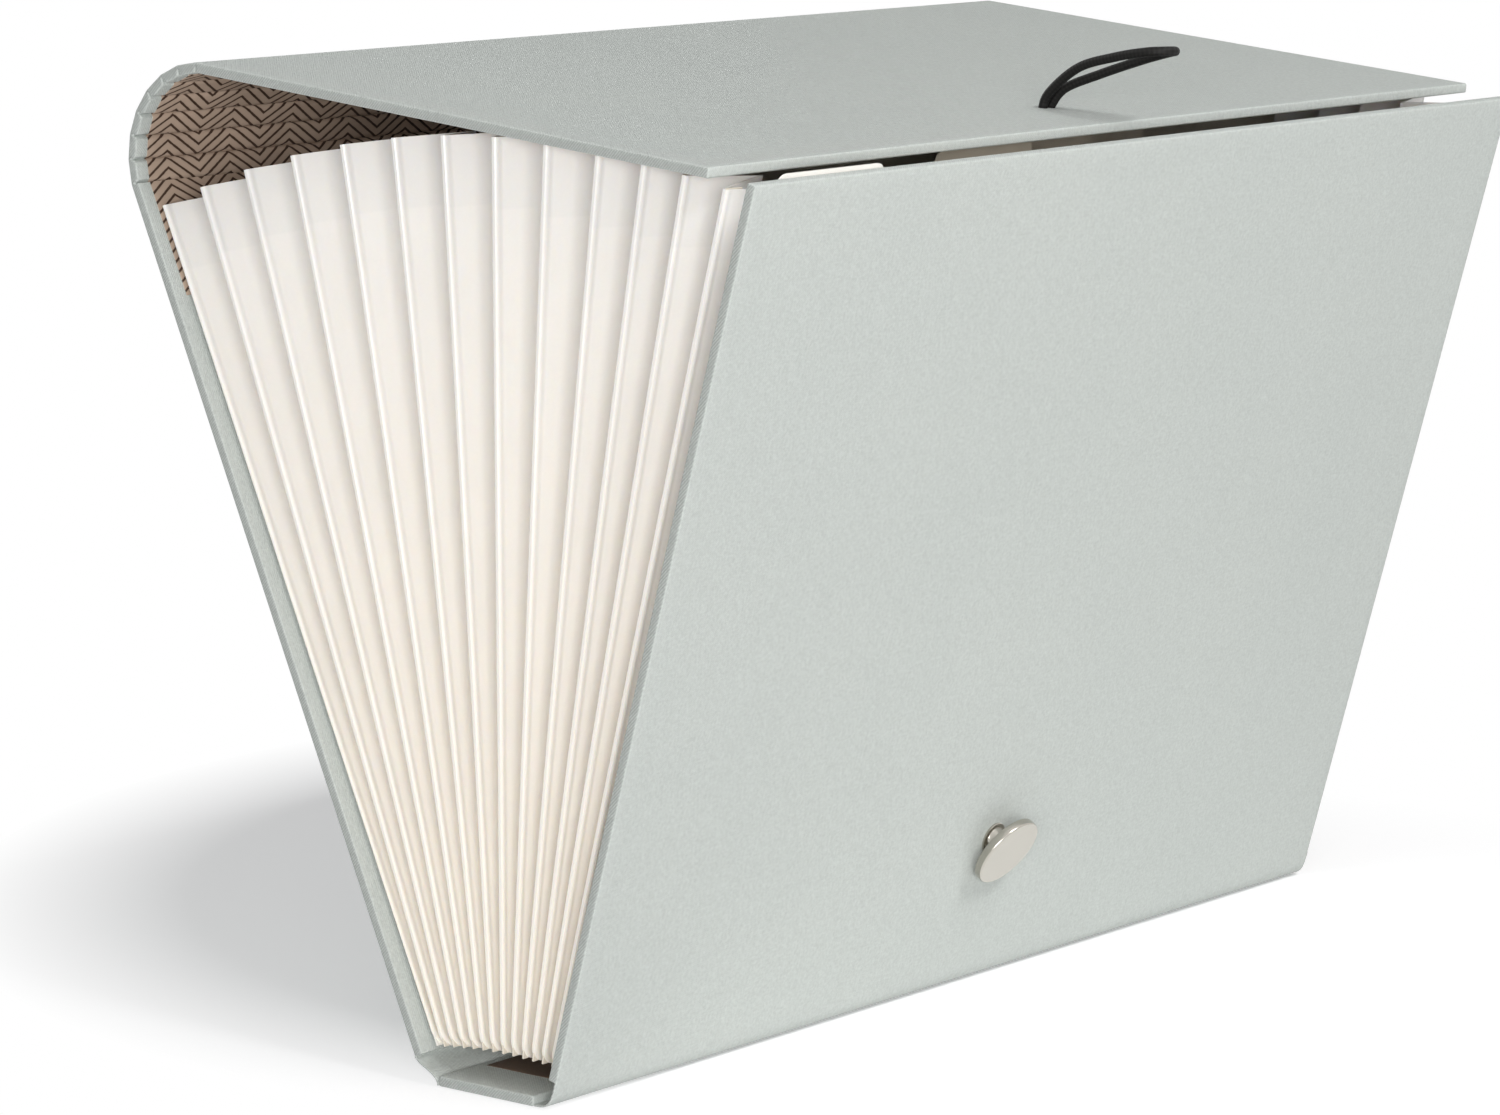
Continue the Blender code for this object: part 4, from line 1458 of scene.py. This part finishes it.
@dataclass
class Studio:
    """Camera, lamps, white surroundings and pale floor."""

    position: Triple = (-1.1060, -0.83595, 0.338)
    lens: float = 128.5
    sensor: float = 36.0
    nearest: float = 0.05
    yaw: float = math.radians(51.3)
    pitch: float = math.radians(9.3)
    lamps: tuple[Lamp, ...] = (
        Lamp("key", (-0.05, -1.4, 1.75), (0.8, 0.8), 26.5, (1.0, 0.995, 0.985)),
        Lamp("side", (-1.68, -1.30, 0.34), (1.5, 0.64), 33.0, (1.0, 0.993, 0.98)),
        Lamp("back", (0.7, 1.65, 0.35), (1.4, 0.6), 8.0, (1.0, 0.995, 0.985)),
    )
    sky_level: float = 0.25
    floor_reach: float = 6.0
    floor_points: int = 25
    floor_drop: float = 0.2 * MM
    shadow_centre: Pair = (0.10, 0.05)
    shadow_room: Pair = (0.222, 0.29)
    shadow_right: Pair = (0.18, 0.27)
    shadow_glow: Pair = (0.12, 0.21)
    open_glow: Pair = (0.55, 1.0)
    floor_light: Triple = (0.66, 0.66, 0.66)
    floor_seen: Triple = (0.98, 0.985, 1.0)

    def camera(self) -> None:
        """Camera at the photograph's viewing angle."""
        data = bpy.data.cameras.new("camera")
        data.lens = self.lens
        data.sensor_width = self.sensor
        data.clip_start = self.nearest
        item = add_object("camera", data)
        item.location = self.position
        item.rotation_euler = (QUARTER - self.pitch, 0.0, -self.yaw)
        bpy.context.scene.camera = item

    def surroundings(self) -> None:
        """White background where it is seen, reflected or seen through; softer as a light."""
        world = bpy.data.worlds.new("studio")
        bpy.context.scene.world = world
        n = Nodes(world)
        n.set(Color=(1.0, 1.0, 1.0, 1.0), Strength=n.spread(n.seen(), 0.0, 1.0, self.sky_level, 1.0))

    def floor(self) -> None:
        """Large pale floor: white where it is seen, but for the object's shadow; its glow also lights the object.
        """
        work = Patchwork()
        line = np.linspace(-self.floor_reach, self.floor_reach, self.floor_points)
        xx, yy = np.meshgrid(line, line, indexing="ij")
        work.grid(np.stack([xx, yy, np.full_like(xx, -self.floor_drop)], axis=2)[:, ::-1], line, line)
        n = Nodes(bpy.data.materials.new("pale_floor"))
        spot = n.split(n.place())
        off = [n.math("POWER", n.math("SUBTRACT", *pair), 2.0) for pair in zip(spot, self.shadow_centre)]
        away = n.spread(n.math("SQRT", n.add(*off)), *self.shadow_room)
        fade = n.math("MAXIMUM", away, n.spread(spot[0], *self.shadow_right))
        seen = n.seen()
        near, far = (n.spread(seen, 0.0, 1.0, *glow) for glow in (self.shadow_glow, self.open_glow))
        matt = n.mix(seen, tone(self.floor_light), tone(self.floor_seen))
        n.set(Base_Color=n.mix(fade, matt, (0.0, 0.0, 0.0, 1.0)), Roughness=0.9, Specular_IOR_Level=0.0)
        n.set(Emission_Color=(1.0, 1.0, 1.0, 1.0), Emission_Strength=n.spread(fade, 0.0, 1.0, near, far))
        item = add_object("floor", work.mesh("floor"))
        item.data.materials.append(n.owner)

    def build(self) -> None:
        """Set up everything round the object."""
        self.camera()
        self.surroundings()
        self.floor()
        for lamp in self.lamps:
            lamp.build()
        bpy.context.scene.view_settings.view_transform = "Standard"


def main() -> None:
    """Build the studio and the folder."""
    logging.basicConfig(level=logging.INFO, format="%(message)s")
    sizes, finishes = Sizes(), Finishes()
    chain = sizes.resting_chain()
    Studio().build()
    ElasticLoop(sizes, finishes, chain[-1]).build()
    Case(sizes, finishes).build()
    RollOver(sizes, finishes, chain).build()
    Flap(sizes, finishes, chain[-1]).build()
    Bellows(sizes, finishes, sizes.leaves(chain[-1])).build()
    Stud(sizes, finishes).build()


if __name__ == "__main__":
    main()
